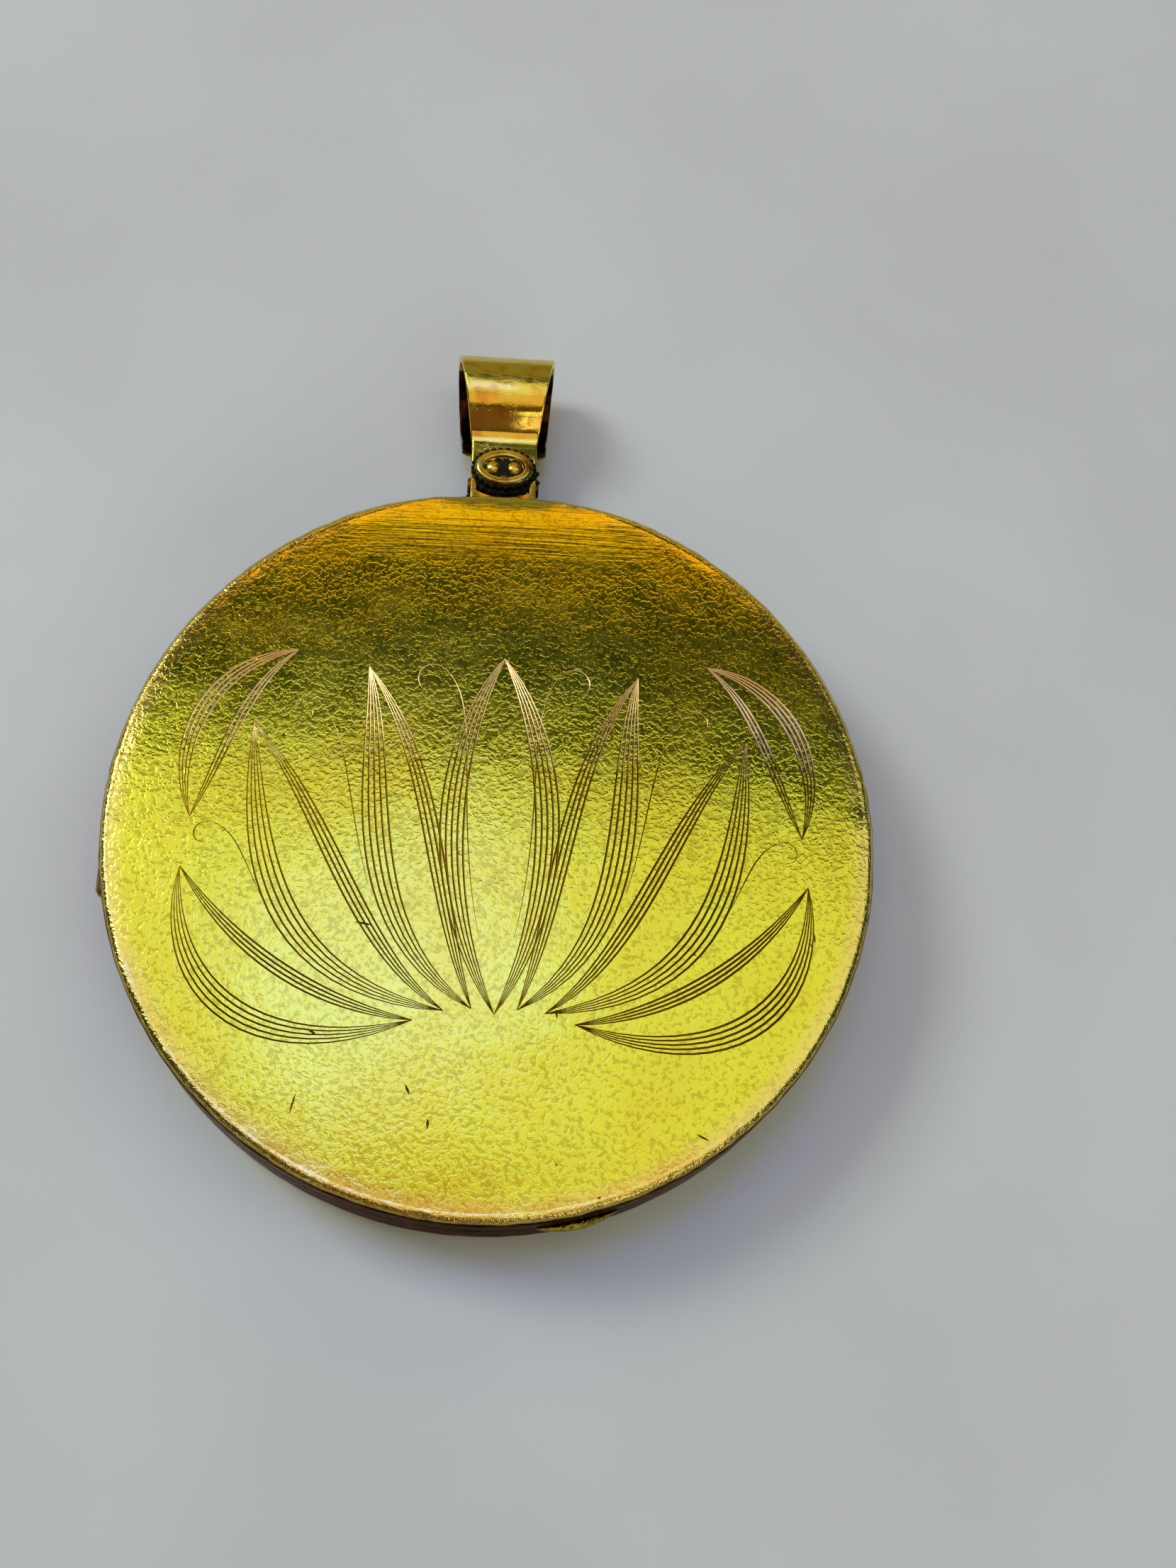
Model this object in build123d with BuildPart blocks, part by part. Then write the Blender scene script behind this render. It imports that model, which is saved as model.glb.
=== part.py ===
"""Round hinged locket with two photograph frames inside and a strap bail that rocks on a cross pin.

Frame: the locket lies closed on its back cover. +Z is up through the front cover, +Y points from the
case towards the bail, -X is the hinge side. The origin is the middle of the back cover's flat resting
face. All sizes are millimetres.
"""

import math
import os

from build123d import *

# ---------------------------------------------------------------- case: driving sizes
case_radius = 16.0
case_height = 6.0
depth_unit = case_height / 60  # depths that grow with the case are counted in sixtieths of its height
seam_height = 33 * depth_unit
seam_gap = 0.10
cover_sheet = 0.30
front_dome_rise = 8 * depth_unit
front_corner = 0.42
back_flat_radius = 12.0
back_rise = 2.5 * depth_unit
back_corner = 13 * depth_unit

# ---------------------------------------------------------------- frames that hold the photographs
rim_lap = 4 * depth_unit
rim_clearance = 0.12
rim_wall = 0.53
lap_headroom = 1 * depth_unit
frame_skirt = 5 * depth_unit
ledge_width = 1.50
ledge_thickness = 2 * depth_unit
photo_thickness = 0.16
window_thickness = 0.20
bezel_height = 3.2 * depth_unit
bezel_width = 1.30
bezel_sink = 1 * depth_unit
bezel_fillet = 0.12
insert_clearance = 0.05
nib_radius = 0.08
nib_sweep = 6.0

# ---------------------------------------------------------------- case hinge
knuckle_count = 5
knuckle_length = 1.05
knuckle_gap = 0.06
barrel_radius = 0.42
hinge_inset = 0.22
barrel_clearance = 0.10
hinge_pin_radius = 0.20
hinge_bore_clearance = 0.03
hinge_head_radius = 0.33
hinge_head_height = 0.15

# ---------------------------------------------------------------- lip for the thumbnail
lip_angle = -76.0
lip_chord = 3.4
lip_reach = 0.30
lip_thickness = 0.30

# ---------------------------------------------------------------- bail and its joint
pivot_standoff = 1.85
saddle_width = 3.0
saddle_half_height = 0.60
ear_thickness = 0.28
notch_depth_from_pivot = 0.80
notch_radius = 2.6
bail_pin_radius = 0.22
bail_pin_clearance = 0.03
bail_pin_head_radius = 0.40
bail_pin_head_height = 0.15
eye_radius = 0.50
eye_side_gap = 0.07
tongue_thickness = 0.70
tongue_length = 1.30
strap_thickness = 0.30
strap_end = 0.40
shoulder_start = 0.85
crest_width = 4.56
back_leg_width = 3.94
back_leg_station = 2.10
loop_table_gap = 0.05
loop_distance = 4.60
throat_radius = 1.20
boss_half_width = 1.36
boss_half_length = 0.98
boss_station = 0.62
boss_height = 0.30
boss_edge_fillet = 0.16
recess_half_width = 0.98
recess_half_length = 0.58
recess_depth = 0.14
rivet_spacing = 0.97
rivet_shank_radius = 0.14
rivet_clearance = 0.01
rivet_head_radius = 0.36
rivet_head_height = 0.16
rivet_tail_radius = 0.30
rivet_tail_height = 0.14

# ---------------------------------------------------------------- places that follow from them
back_lip_z = seam_height - seam_gap / 2
front_lip_z = seam_height + seam_gap / 2
inner_radius = case_radius - cover_sheet
rim_radius = inner_radius - rim_clearance
seat_radius = rim_radius - rim_wall
opening_radius = seat_radius - ledge_width
insert_radius = seat_radius - insert_clearance
bezel_inner_radius = insert_radius - bezel_width

back_bezel_z = back_lip_z - bezel_sink + seam_gap / 2 - bezel_height
back_window_z = back_bezel_z - window_thickness
back_photo_z = back_window_z - photo_thickness
back_ledge_z = back_photo_z - ledge_thickness

front_bezel_z = seam_height + rim_lap + lap_headroom
front_window_z = front_bezel_z + bezel_height
front_photo_z = front_window_z + window_thickness
front_ledge_z = front_photo_z + photo_thickness
front_frame_top_z = front_ledge_z + ledge_thickness

hinge_x = hinge_inset - case_radius
knuckle_pitch = knuckle_length + knuckle_gap
barrel_length = knuckle_count * knuckle_pitch - knuckle_gap

pivot_y = case_radius + pivot_standoff
pivot_height = back_rise + back_corner + saddle_half_height
loop_bore_radius = pivot_height - strap_thickness - loop_table_gap
slot_half_width = saddle_width / 2 - ear_thickness
eye_half_length = slot_half_width - eye_side_gap
loop_y = pivot_y + loop_distance
loop_outer_radius = loop_bore_radius + strap_thickness
leg_inner = tongue_thickness / 2
leg_outer = leg_inner + strap_thickness
strap_plane = Plane(origin=(0, pivot_y, pivot_height), x_dir=(0, 1, 0), z_dir=(1, 0, 0))
boss_plane = Plane(origin=(0, pivot_y, pivot_height + leg_outer), x_dir=(1, 0, 0), z_dir=(0, 0, 1))

made = []


def keep(builder, name):
    """Labels a finished piece and remembers it for the export."""
    builder.part.label = name
    made.append(builder.part)


def front_section(radius, lip_z, crown_z, rise, corner):
    """Half section of a solid shaped like the front cover: a flat rim, an upright wall and a low dome."""
    with BuildSketch(Plane.XZ) as section:
        with BuildLine():
            Line((0, lip_z), (radius, lip_z))
            Line((radius, lip_z), (radius, crown_z - rise))
            TangentArc((0, crown_z), (radius, crown_z - rise), tangent=(1, 0))
            Line((0, crown_z), (0, lip_z))
        make_face()
        shoulder = section.vertices().sort_by_distance((radius, crown_z - rise, 0))[0]
        fillet(shoulder, corner)
    return section.sketch


def back_section(radius, lip_z, floor_z, flat_radius, rise, corner):
    """Half section of a solid shaped like the back cover: a flat to rest on, a soft rise and a wall."""
    with BuildSketch(Plane.XZ) as section:
        with BuildLine():
            Line((0, lip_z), (0, floor_z))
            Line((0, floor_z), (flat_radius, floor_z))
            TangentArc((flat_radius, floor_z), (radius, floor_z + rise), tangent=(1, 0))
            Line((radius, floor_z + rise), (radius, lip_z))
            Line((radius, lip_z), (0, lip_z))
        make_face()
        shoulder = section.vertices().sort_by_distance((radius, floor_z + rise, 0))[0]
        fillet(shoulder, corner)
    return section.sketch


def knuckle_y(index):
    """Middle of one knuckle along the hinge."""
    return (index - (knuckle_count - 1) / 2) * knuckle_pitch


def cut_hinge_channel(own_parity):
    """Cuts the channel that seats this cover's own knuckles and clears the other cover's."""
    for index in range(knuckle_count):
        own = index % 2 == own_parity
        radius = barrel_radius if own else barrel_radius + barrel_clearance
        length = knuckle_length if own else knuckle_length + 2 * knuckle_gap
        with Locations((hinge_x, knuckle_y(index), seam_height)):
            Cylinder(radius, length, rotation=(90, 0, 0), mode=Mode.SUBTRACT)
    head_room = hinge_head_height + 2 * barrel_clearance
    for side in (-1, 1):
        with Locations((hinge_x, side * (barrel_length + head_room) / 2, seam_height)):
            Cylinder(barrel_radius + barrel_clearance, head_room, rotation=(90, 0, 0), mode=Mode.SUBTRACT)


# ================================================================ covers
with BuildPart() as front_cover:
    revolve(front_section(case_radius, front_lip_z, case_height, front_dome_rise, front_corner), axis=Axis.Z)
    revolve(
        front_section(
            inner_radius, front_lip_z, case_height - cover_sheet, front_dome_rise, front_corner - cover_sheet
        ),
        axis=Axis.Z,
        mode=Mode.SUBTRACT,
    )
    cut_hinge_channel(own_parity=1)
keep(front_cover, "front_cover")

with BuildPart() as back_cover:
    revolve(back_section(case_radius, back_lip_z, 0, back_flat_radius, back_rise, back_corner), axis=Axis.Z)
    revolve(
        back_section(
            inner_radius, back_lip_z, cover_sheet, back_flat_radius, back_rise, back_corner - cover_sheet
        ),
        axis=Axis.Z,
        mode=Mode.SUBTRACT,
    )
    cut_hinge_channel(own_parity=0)
keep(back_cover, "back_cover")

# ================================================================ frames soldered inside the covers
with BuildPart() as back_frame:
    with BuildSketch(Plane.XZ):
        with BuildLine():
            Polyline(
                (inner_radius, back_ledge_z - frame_skirt),
                (inner_radius, back_lip_z),
                (rim_radius, back_lip_z),
                (rim_radius, seam_height + rim_lap),
                (seat_radius, seam_height + rim_lap),
                (seat_radius, back_photo_z),
                (opening_radius, back_photo_z),
                (opening_radius, back_ledge_z),
                (seat_radius, back_ledge_z - frame_skirt),
                close=True,
            )
        make_face()
    revolve(axis=Axis.Z)
    cut_hinge_channel(own_parity=0)
keep(back_frame, "back_frame")

with BuildPart() as front_frame:
    with BuildSketch(Plane.XZ):
        with BuildLine():
            Polyline(
                (inner_radius, front_bezel_z),
                (inner_radius, front_window_z),
                (seat_radius + insert_clearance, front_frame_top_z),
                (opening_radius, front_frame_top_z),
                (opening_radius, front_ledge_z),
                (seat_radius, front_ledge_z),
                (seat_radius, front_bezel_z),
                close=True,
            )
        make_face()
    revolve(axis=Axis.Z)
    cut_hinge_channel(own_parity=1)
keep(front_frame, "front_frame")

# ================================================================ photographs, windows and their bezels
for name, floor_z in (("back_photo", back_photo_z), ("front_photo", front_photo_z)):
    with BuildPart() as photo:
        with BuildSketch(Plane.XY.offset(floor_z)):
            Circle(insert_radius)
        extrude(amount=photo_thickness)
    keep(photo, name)

for name, floor_z in (("back_window", back_window_z), ("front_window", front_window_z)):
    with BuildPart() as window:
        with BuildSketch(Plane.XY.offset(floor_z)):
            Circle(insert_radius)
        extrude(amount=window_thickness)
    keep(window, name)

for name, seat_z, outward in (
    ("back_bezel", back_bezel_z, 1),
    ("front_bezel", front_window_z, -1),
):
    with BuildPart() as bezel:
        with BuildSketch(Plane.XY.offset(seat_z)):
            Circle(insert_radius)
            Circle(bezel_inner_radius, mode=Mode.SUBTRACT)
        extrude(amount=outward * bezel_height)
        show_edges = bezel.faces().sort_by(Axis.Z)[-1 if outward > 0 else 0].edges()
        fillet(show_edges, bezel_fillet)
    keep(bezel, name)

# ================================================================ snap bead on the closing rim
with BuildPart() as catch_nib:
    nib_z = seam_height + rim_lap / 2
    nib_plane = Plane.XZ.rotated((0, 0, -nib_sweep / 2))
    with BuildSketch(nib_plane):
        with BuildLine():
            ThreePointArc(
                (rim_radius, nib_z - nib_radius),
                (rim_radius + nib_radius, nib_z),
                (rim_radius, nib_z + nib_radius),
            )
            Line((rim_radius, nib_z + nib_radius), (rim_radius, nib_z - nib_radius))
        make_face()
    revolve(axis=Axis.Z, revolution_arc=nib_sweep)
keep(catch_nib, "catch_nib")

# ================================================================ case hinge
for index in range(knuckle_count):
    with BuildPart() as knuckle:
        with BuildSketch(Plane.XZ.offset(knuckle_length / 2 - knuckle_y(index))):
            with Locations((hinge_x, seam_height)):
                Circle(barrel_radius)
                Circle(hinge_pin_radius + hinge_bore_clearance, mode=Mode.SUBTRACT)
        extrude(amount=-knuckle_length)
    owner = "back" if index % 2 == 0 else "front"
    keep(knuckle, f"{owner}_knuckle_{index + 1}")

with BuildPart() as hinge_pin:
    with Locations((hinge_x, 0, seam_height)):
        Cylinder(hinge_pin_radius, barrel_length, rotation=(90, 0, 0))
    for side in (-1, 1):
        with Locations((hinge_x, side * (barrel_length + hinge_head_height) / 2, seam_height)):
            Cylinder(hinge_head_radius, hinge_head_height, rotation=(90, 0, 0))
    fillet(hinge_pin.faces().sort_by(Axis.Y)[0].edges(), hinge_head_height / 2)
    fillet(hinge_pin.faces().sort_by(Axis.Y)[-1].edges(), hinge_head_height / 2)
keep(hinge_pin, "hinge_pin")

# ================================================================ thumbnail lip on the back cover
with BuildPart() as thumb_lip:
    lip_out = (math.cos(math.radians(lip_angle)), math.sin(math.radians(lip_angle)), 0)
    lip_root = math.sqrt(case_radius**2 - (lip_chord / 2) ** 2)
    with BuildSketch(Plane(origin=(0, 0, back_lip_z), x_dir=lip_out, z_dir=(0, 0, 1))):
        with BuildLine():
            ThreePointArc((lip_root, -lip_chord / 2), (case_radius + lip_reach, 0), (lip_root, lip_chord / 2))
            ThreePointArc((lip_root, lip_chord / 2), (case_radius, 0), (lip_root, -lip_chord / 2))
        make_face()
    extrude(amount=-lip_thickness)
keep(thumb_lip, "thumb_lip")

# ================================================================ bail saddle, soldered to the back cover
with BuildPart() as bail_saddle:
    with BuildSketch(strap_plane):
        with BuildLine():
            Polyline(
                (0, saddle_half_height),
                (-pivot_standoff - cover_sheet, saddle_half_height),
                (-pivot_standoff - cover_sheet, -saddle_half_height),
                (0, -saddle_half_height),
            )
            ThreePointArc((0, -saddle_half_height), (saddle_half_height, 0), (0, saddle_half_height))
        make_face()
    extrude(amount=saddle_width / 2, both=True)
    with BuildSketch(Plane.XY.offset(pivot_height)):
        notch_y = pivot_y - notch_depth_from_pivot
        notch_side_y = notch_y + notch_radius - math.sqrt(notch_radius**2 - slot_half_width**2)
        with BuildLine():
            ThreePointArc((-slot_half_width, notch_side_y), (0, notch_y), (slot_half_width, notch_side_y))
            Polyline(
                (slot_half_width, notch_side_y),
                (slot_half_width, pivot_y + 2 * saddle_half_height),
                (-slot_half_width, pivot_y + 2 * saddle_half_height),
                (-slot_half_width, notch_side_y),
            )
        make_face()
    extrude(amount=2 * saddle_half_height, both=True, mode=Mode.SUBTRACT)
    with Locations((0, 0, pivot_height)):
        Cylinder(case_radius, 4 * saddle_half_height, mode=Mode.SUBTRACT)
    with Locations((0, pivot_y, pivot_height)):
        Cylinder(bail_pin_radius + bail_pin_clearance, 2 * saddle_width, rotation=(0, 90, 0), mode=Mode.SUBTRACT)
keep(bail_saddle, "bail_saddle")

with BuildPart() as bail_pin:
    with Locations((0, pivot_y, pivot_height)):
        Cylinder(bail_pin_radius, saddle_width, rotation=(0, 90, 0))
    for side in (-1, 1):
        with Locations((side * (saddle_width + bail_pin_head_height) / 2, pivot_y, pivot_height)):
            Cylinder(bail_pin_head_radius, bail_pin_head_height, rotation=(0, 90, 0))
    fillet(bail_pin.faces().sort_by(Axis.X)[0].edges(), bail_pin_head_height / 2)
    fillet(bail_pin.faces().sort_by(Axis.X)[-1].edges(), bail_pin_head_height / 2)
keep(bail_pin, "bail_pin")


def rivet_places(plane):
    """The two rivets' places on a plane whose origin is over the pivot."""
    return [plane.from_local_coords((side * rivet_spacing / 2, boss_station, 0)) for side in (-1, 1)]


def drill_rivet_holes():
    """Drills both rivet holes through the piece being made."""
    for place in rivet_places(boss_plane):
        with Locations((place.X, place.Y, pivot_height)):
            Cylinder(rivet_shank_radius + rivet_clearance, 4 * leg_outer, mode=Mode.SUBTRACT)


# ================================================================ bail eye: barrel on the pin and a tongue
with BuildPart() as bail_eye:
    with BuildSketch(strap_plane):
        Circle(eye_radius)
        with Locations((tongue_length / 2, 0)):
            Rectangle(tongue_length, tongue_thickness)
        Circle(bail_pin_radius + bail_pin_clearance, mode=Mode.SUBTRACT)
    extrude(amount=eye_half_length, both=True)
    drill_rivet_holes()
keep(bail_eye, "bail_eye")


# ================================================================ bail strap: one strip folded into a loop
throat_offset = (leg_inner + leg_outer) / 2 + throat_radius
throat_reach = (loop_bore_radius + loop_outer_radius) / 2 + throat_radius
throat_s = loop_distance - math.sqrt(throat_reach**2 - throat_offset**2)
throat_angle = math.degrees(math.asin(throat_offset / throat_reach))
loop_arc = 360 - 2 * throat_angle


def leg_outline(shoulders):
    """Right-hand outline of one leg of the strap, from its end at the pin up past the crest."""
    return [
        (eye_half_length, pivot_y + strap_end),
        (eye_half_length, pivot_y + shoulder_start),
        (saddle_width / 2, pivot_y + shoulder_start),
        *shoulders,
        (crest_width / 2, loop_y + loop_outer_radius),
    ]


neck_top = (saddle_width / 2, pivot_y + throat_s)
back_shoulder = (back_leg_width / 2, pivot_y + back_leg_station)

with BuildPart() as strap_outline:
    for shoulders, upward in (([neck_top], 1), ([neck_top, back_shoulder], -1)):
        right_side = leg_outline(shoulders)
        left_side = [(-x, y) for x, y in reversed(right_side)]
        with BuildSketch(Plane.XY.offset(pivot_height)):
            with BuildLine():
                Polyline(*right_side, *left_side, close=True)
            make_face()
        extrude(amount=upward * 2 * loop_outer_radius)

with BuildPart() as bail_strap:
    with BuildSketch(strap_plane):
        with BuildLine():
            for side in (1, -1):
                Line((strap_end, side * leg_outer), (throat_s, side * leg_outer))
                Line((strap_end, side * leg_inner), (throat_s, side * leg_inner))
                for radius in (throat_radius - strap_thickness / 2, throat_radius + strap_thickness / 2):
                    CenterArc((throat_s, side * throat_offset), radius, -90 * side, side * (90 - throat_angle))
                Line((strap_end, side * leg_inner), (strap_end, side * leg_outer))
            for radius in (loop_bore_radius, loop_outer_radius):
                CenterArc((loop_distance, 0), radius, throat_angle - 180, loop_arc)
        make_face()
    extrude(amount=crest_width / 2, both=True)
    add(strap_outline.part, mode=Mode.INTERSECT)
    drill_rivet_holes()
keep(bail_strap, "bail_strap")

# ================================================================ oval boss and its two rivets
with BuildPart() as bail_boss:
    with BuildSketch(boss_plane):
        with Locations((0, boss_station)):
            Ellipse(boss_half_width, boss_half_length)
    extrude(amount=boss_height)
    fillet(bail_boss.faces().sort_by(Axis.Z)[-1].edges(), boss_edge_fillet)
    with BuildSketch(boss_plane.offset(boss_height)):
        with Locations((0, boss_station)):
            Ellipse(recess_half_width, recess_half_length)
    extrude(amount=-recess_depth, mode=Mode.SUBTRACT)
    drill_rivet_holes()
keep(bail_boss, "bail_boss")

recess_floor = boss_height - recess_depth
grip = 2 * leg_outer + recess_floor
for name, place in zip(("bail_rivet_left", "bail_rivet_right"), rivet_places(boss_plane)):
    with BuildPart() as rivet:
        tail_z = pivot_height - leg_outer
        with BuildSketch(Plane(origin=(place.X, place.Y, tail_z), x_dir=(1, 0, 0), z_dir=(0, -1, 0))) as section:
            with BuildLine():
                dome_spring = (rivet_head_radius, grip)
                Polyline(
                    (0, grip + rivet_head_height),
                    (0, -rivet_tail_height),
                    (rivet_tail_radius, -rivet_tail_height),
                    (rivet_tail_radius, 0),
                    (rivet_shank_radius, 0),
                    (rivet_shank_radius, grip),
                    dome_spring,
                )
                TangentArc((0, grip + rivet_head_height), dome_spring, tangent=(1, 0))
            make_face()
        revolve(axis=Axis((place.X, place.Y, 0), (0, 0, 1)))
    keep(rivet, name)

# ================================================================ export
os.makedirs("parts", exist_ok=True)
for part in made:
    export_step(part, f"parts/{part.label}.step")
print("loop throat angle", round(throat_angle, 2), "bore coverage", round(loop_arc / 360, 3))
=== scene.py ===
"""Looks of a round rolled-gold locket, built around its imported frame.

The locket lies closed on its back cover, hinge on -X, strap bail towards +Y. Every new piece is in metres,
sits at the origin and rides on the body of the CAD node that it stands for.
"""

import logging
import math
import random
from collections.abc import Callable, Iterable
from dataclasses import dataclass, field
from enum import Enum

import bpy
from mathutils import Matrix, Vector


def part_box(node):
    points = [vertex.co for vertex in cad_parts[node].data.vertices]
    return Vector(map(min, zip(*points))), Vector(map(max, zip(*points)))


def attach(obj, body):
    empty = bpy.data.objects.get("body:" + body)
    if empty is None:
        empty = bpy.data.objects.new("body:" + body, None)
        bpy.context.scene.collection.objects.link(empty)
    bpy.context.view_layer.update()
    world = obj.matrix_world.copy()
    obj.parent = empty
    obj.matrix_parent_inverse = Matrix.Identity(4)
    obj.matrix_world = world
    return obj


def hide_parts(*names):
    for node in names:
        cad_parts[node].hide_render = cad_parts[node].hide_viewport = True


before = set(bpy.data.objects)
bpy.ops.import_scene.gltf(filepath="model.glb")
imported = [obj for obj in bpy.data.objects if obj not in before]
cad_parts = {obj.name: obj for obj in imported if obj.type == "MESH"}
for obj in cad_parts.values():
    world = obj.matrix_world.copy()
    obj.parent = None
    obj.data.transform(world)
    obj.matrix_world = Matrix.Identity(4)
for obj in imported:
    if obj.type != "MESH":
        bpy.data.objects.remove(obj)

MM = 0.001
LOG = logging.getLogger("locket")

Point2 = tuple[float, float]
Point3 = tuple[float, float, float]


class Body(Enum):
    """The rigid bodies of the locket."""

    BACK = "back"
    FRONT = "front"
    BAIL = "bail"


class Slot(Enum):
    """Names of material slots."""

    ROLLED_GOLD = "rolled_gold"
    BAIL_GOLD = "bail_gold"
    GILT_BRASS = "gilt_brass"
    GILT_BEZEL = "gilt_bezel"
    HINGE_WIRE = "hinge_wire"
    WINDOW = "window"
    PHOTO = "photo_paper"


# ------------------------------------------------------------------------------------------ material helpers


def linear(code: str, alpha: float = 1.0) -> tuple[float, float, float, float]:
    """Turns an sRGB hex colour into linear values.

    Args:
        code: six hex digits, such as "C8A040".
        alpha: the fourth value.

    Returns:
        Linear red, green, blue and alpha.
    """
    channels = [int(code[i : i + 2], 16) / 255 for i in (0, 2, 4)]
    red, green, blue = [c / 12.92 if c <= 0.04045 else ((c + 0.055) / 1.055) ** 2.4 for c in channels]
    return red, green, blue, alpha


def add_node(tree: bpy.types.NodeTree, kind: str, inputs: dict | None = None, **settings) -> bpy.types.Node:
    """Adds one node with its settings, socket values and links.

    Args:
        tree: the node tree that takes the node.
        kind: the node's type name.
        inputs: socket name or number to a value, or to an earlier node's output socket.
        **settings: properties of the node.

    Returns:
        The new node.
    """
    node = tree.nodes.new(kind)
    for name, value in settings.items():
        setattr(node, name, value)
    for socket, value in (inputs or {}).items():
        if isinstance(value, bpy.types.NodeSocket):
            tree.links.new(value, node.inputs[socket])
        else:
            node.inputs[socket].default_value = value
    return node


def new_material(name: str) -> tuple[bpy.types.Material, bpy.types.NodeTree]:
    """Makes an empty material.

    Args:
        name: the material's name.

    Returns:
        The material and its node tree.
    """
    material = bpy.data.materials.new(name)
    material.use_nodes = True
    material.node_tree.nodes.clear()
    return material, material.node_tree


def set_ramp(node: bpy.types.Node, stops: list[tuple[float, tuple[float, ...]]]) -> bpy.types.Node:
    """Sets the stops of a Color Ramp node.

    Args:
        node: the Color Ramp node.
        stops: (position, colour) pairs in order.

    Returns:
        The same node.
    """
    ramp = node.color_ramp
    while len(ramp.elements) < len(stops):
        ramp.elements.new(1.0)
    for element, (position, colour) in zip(ramp.elements, stops):
        element.position = position
        element.color = colour
    return node


def grey(value: float) -> tuple[float, float, float, float]:
    """A neutral ramp colour."""
    return value, value, value, 1.0


# ------------------------------------------------------------------------------------------ finishes


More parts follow.
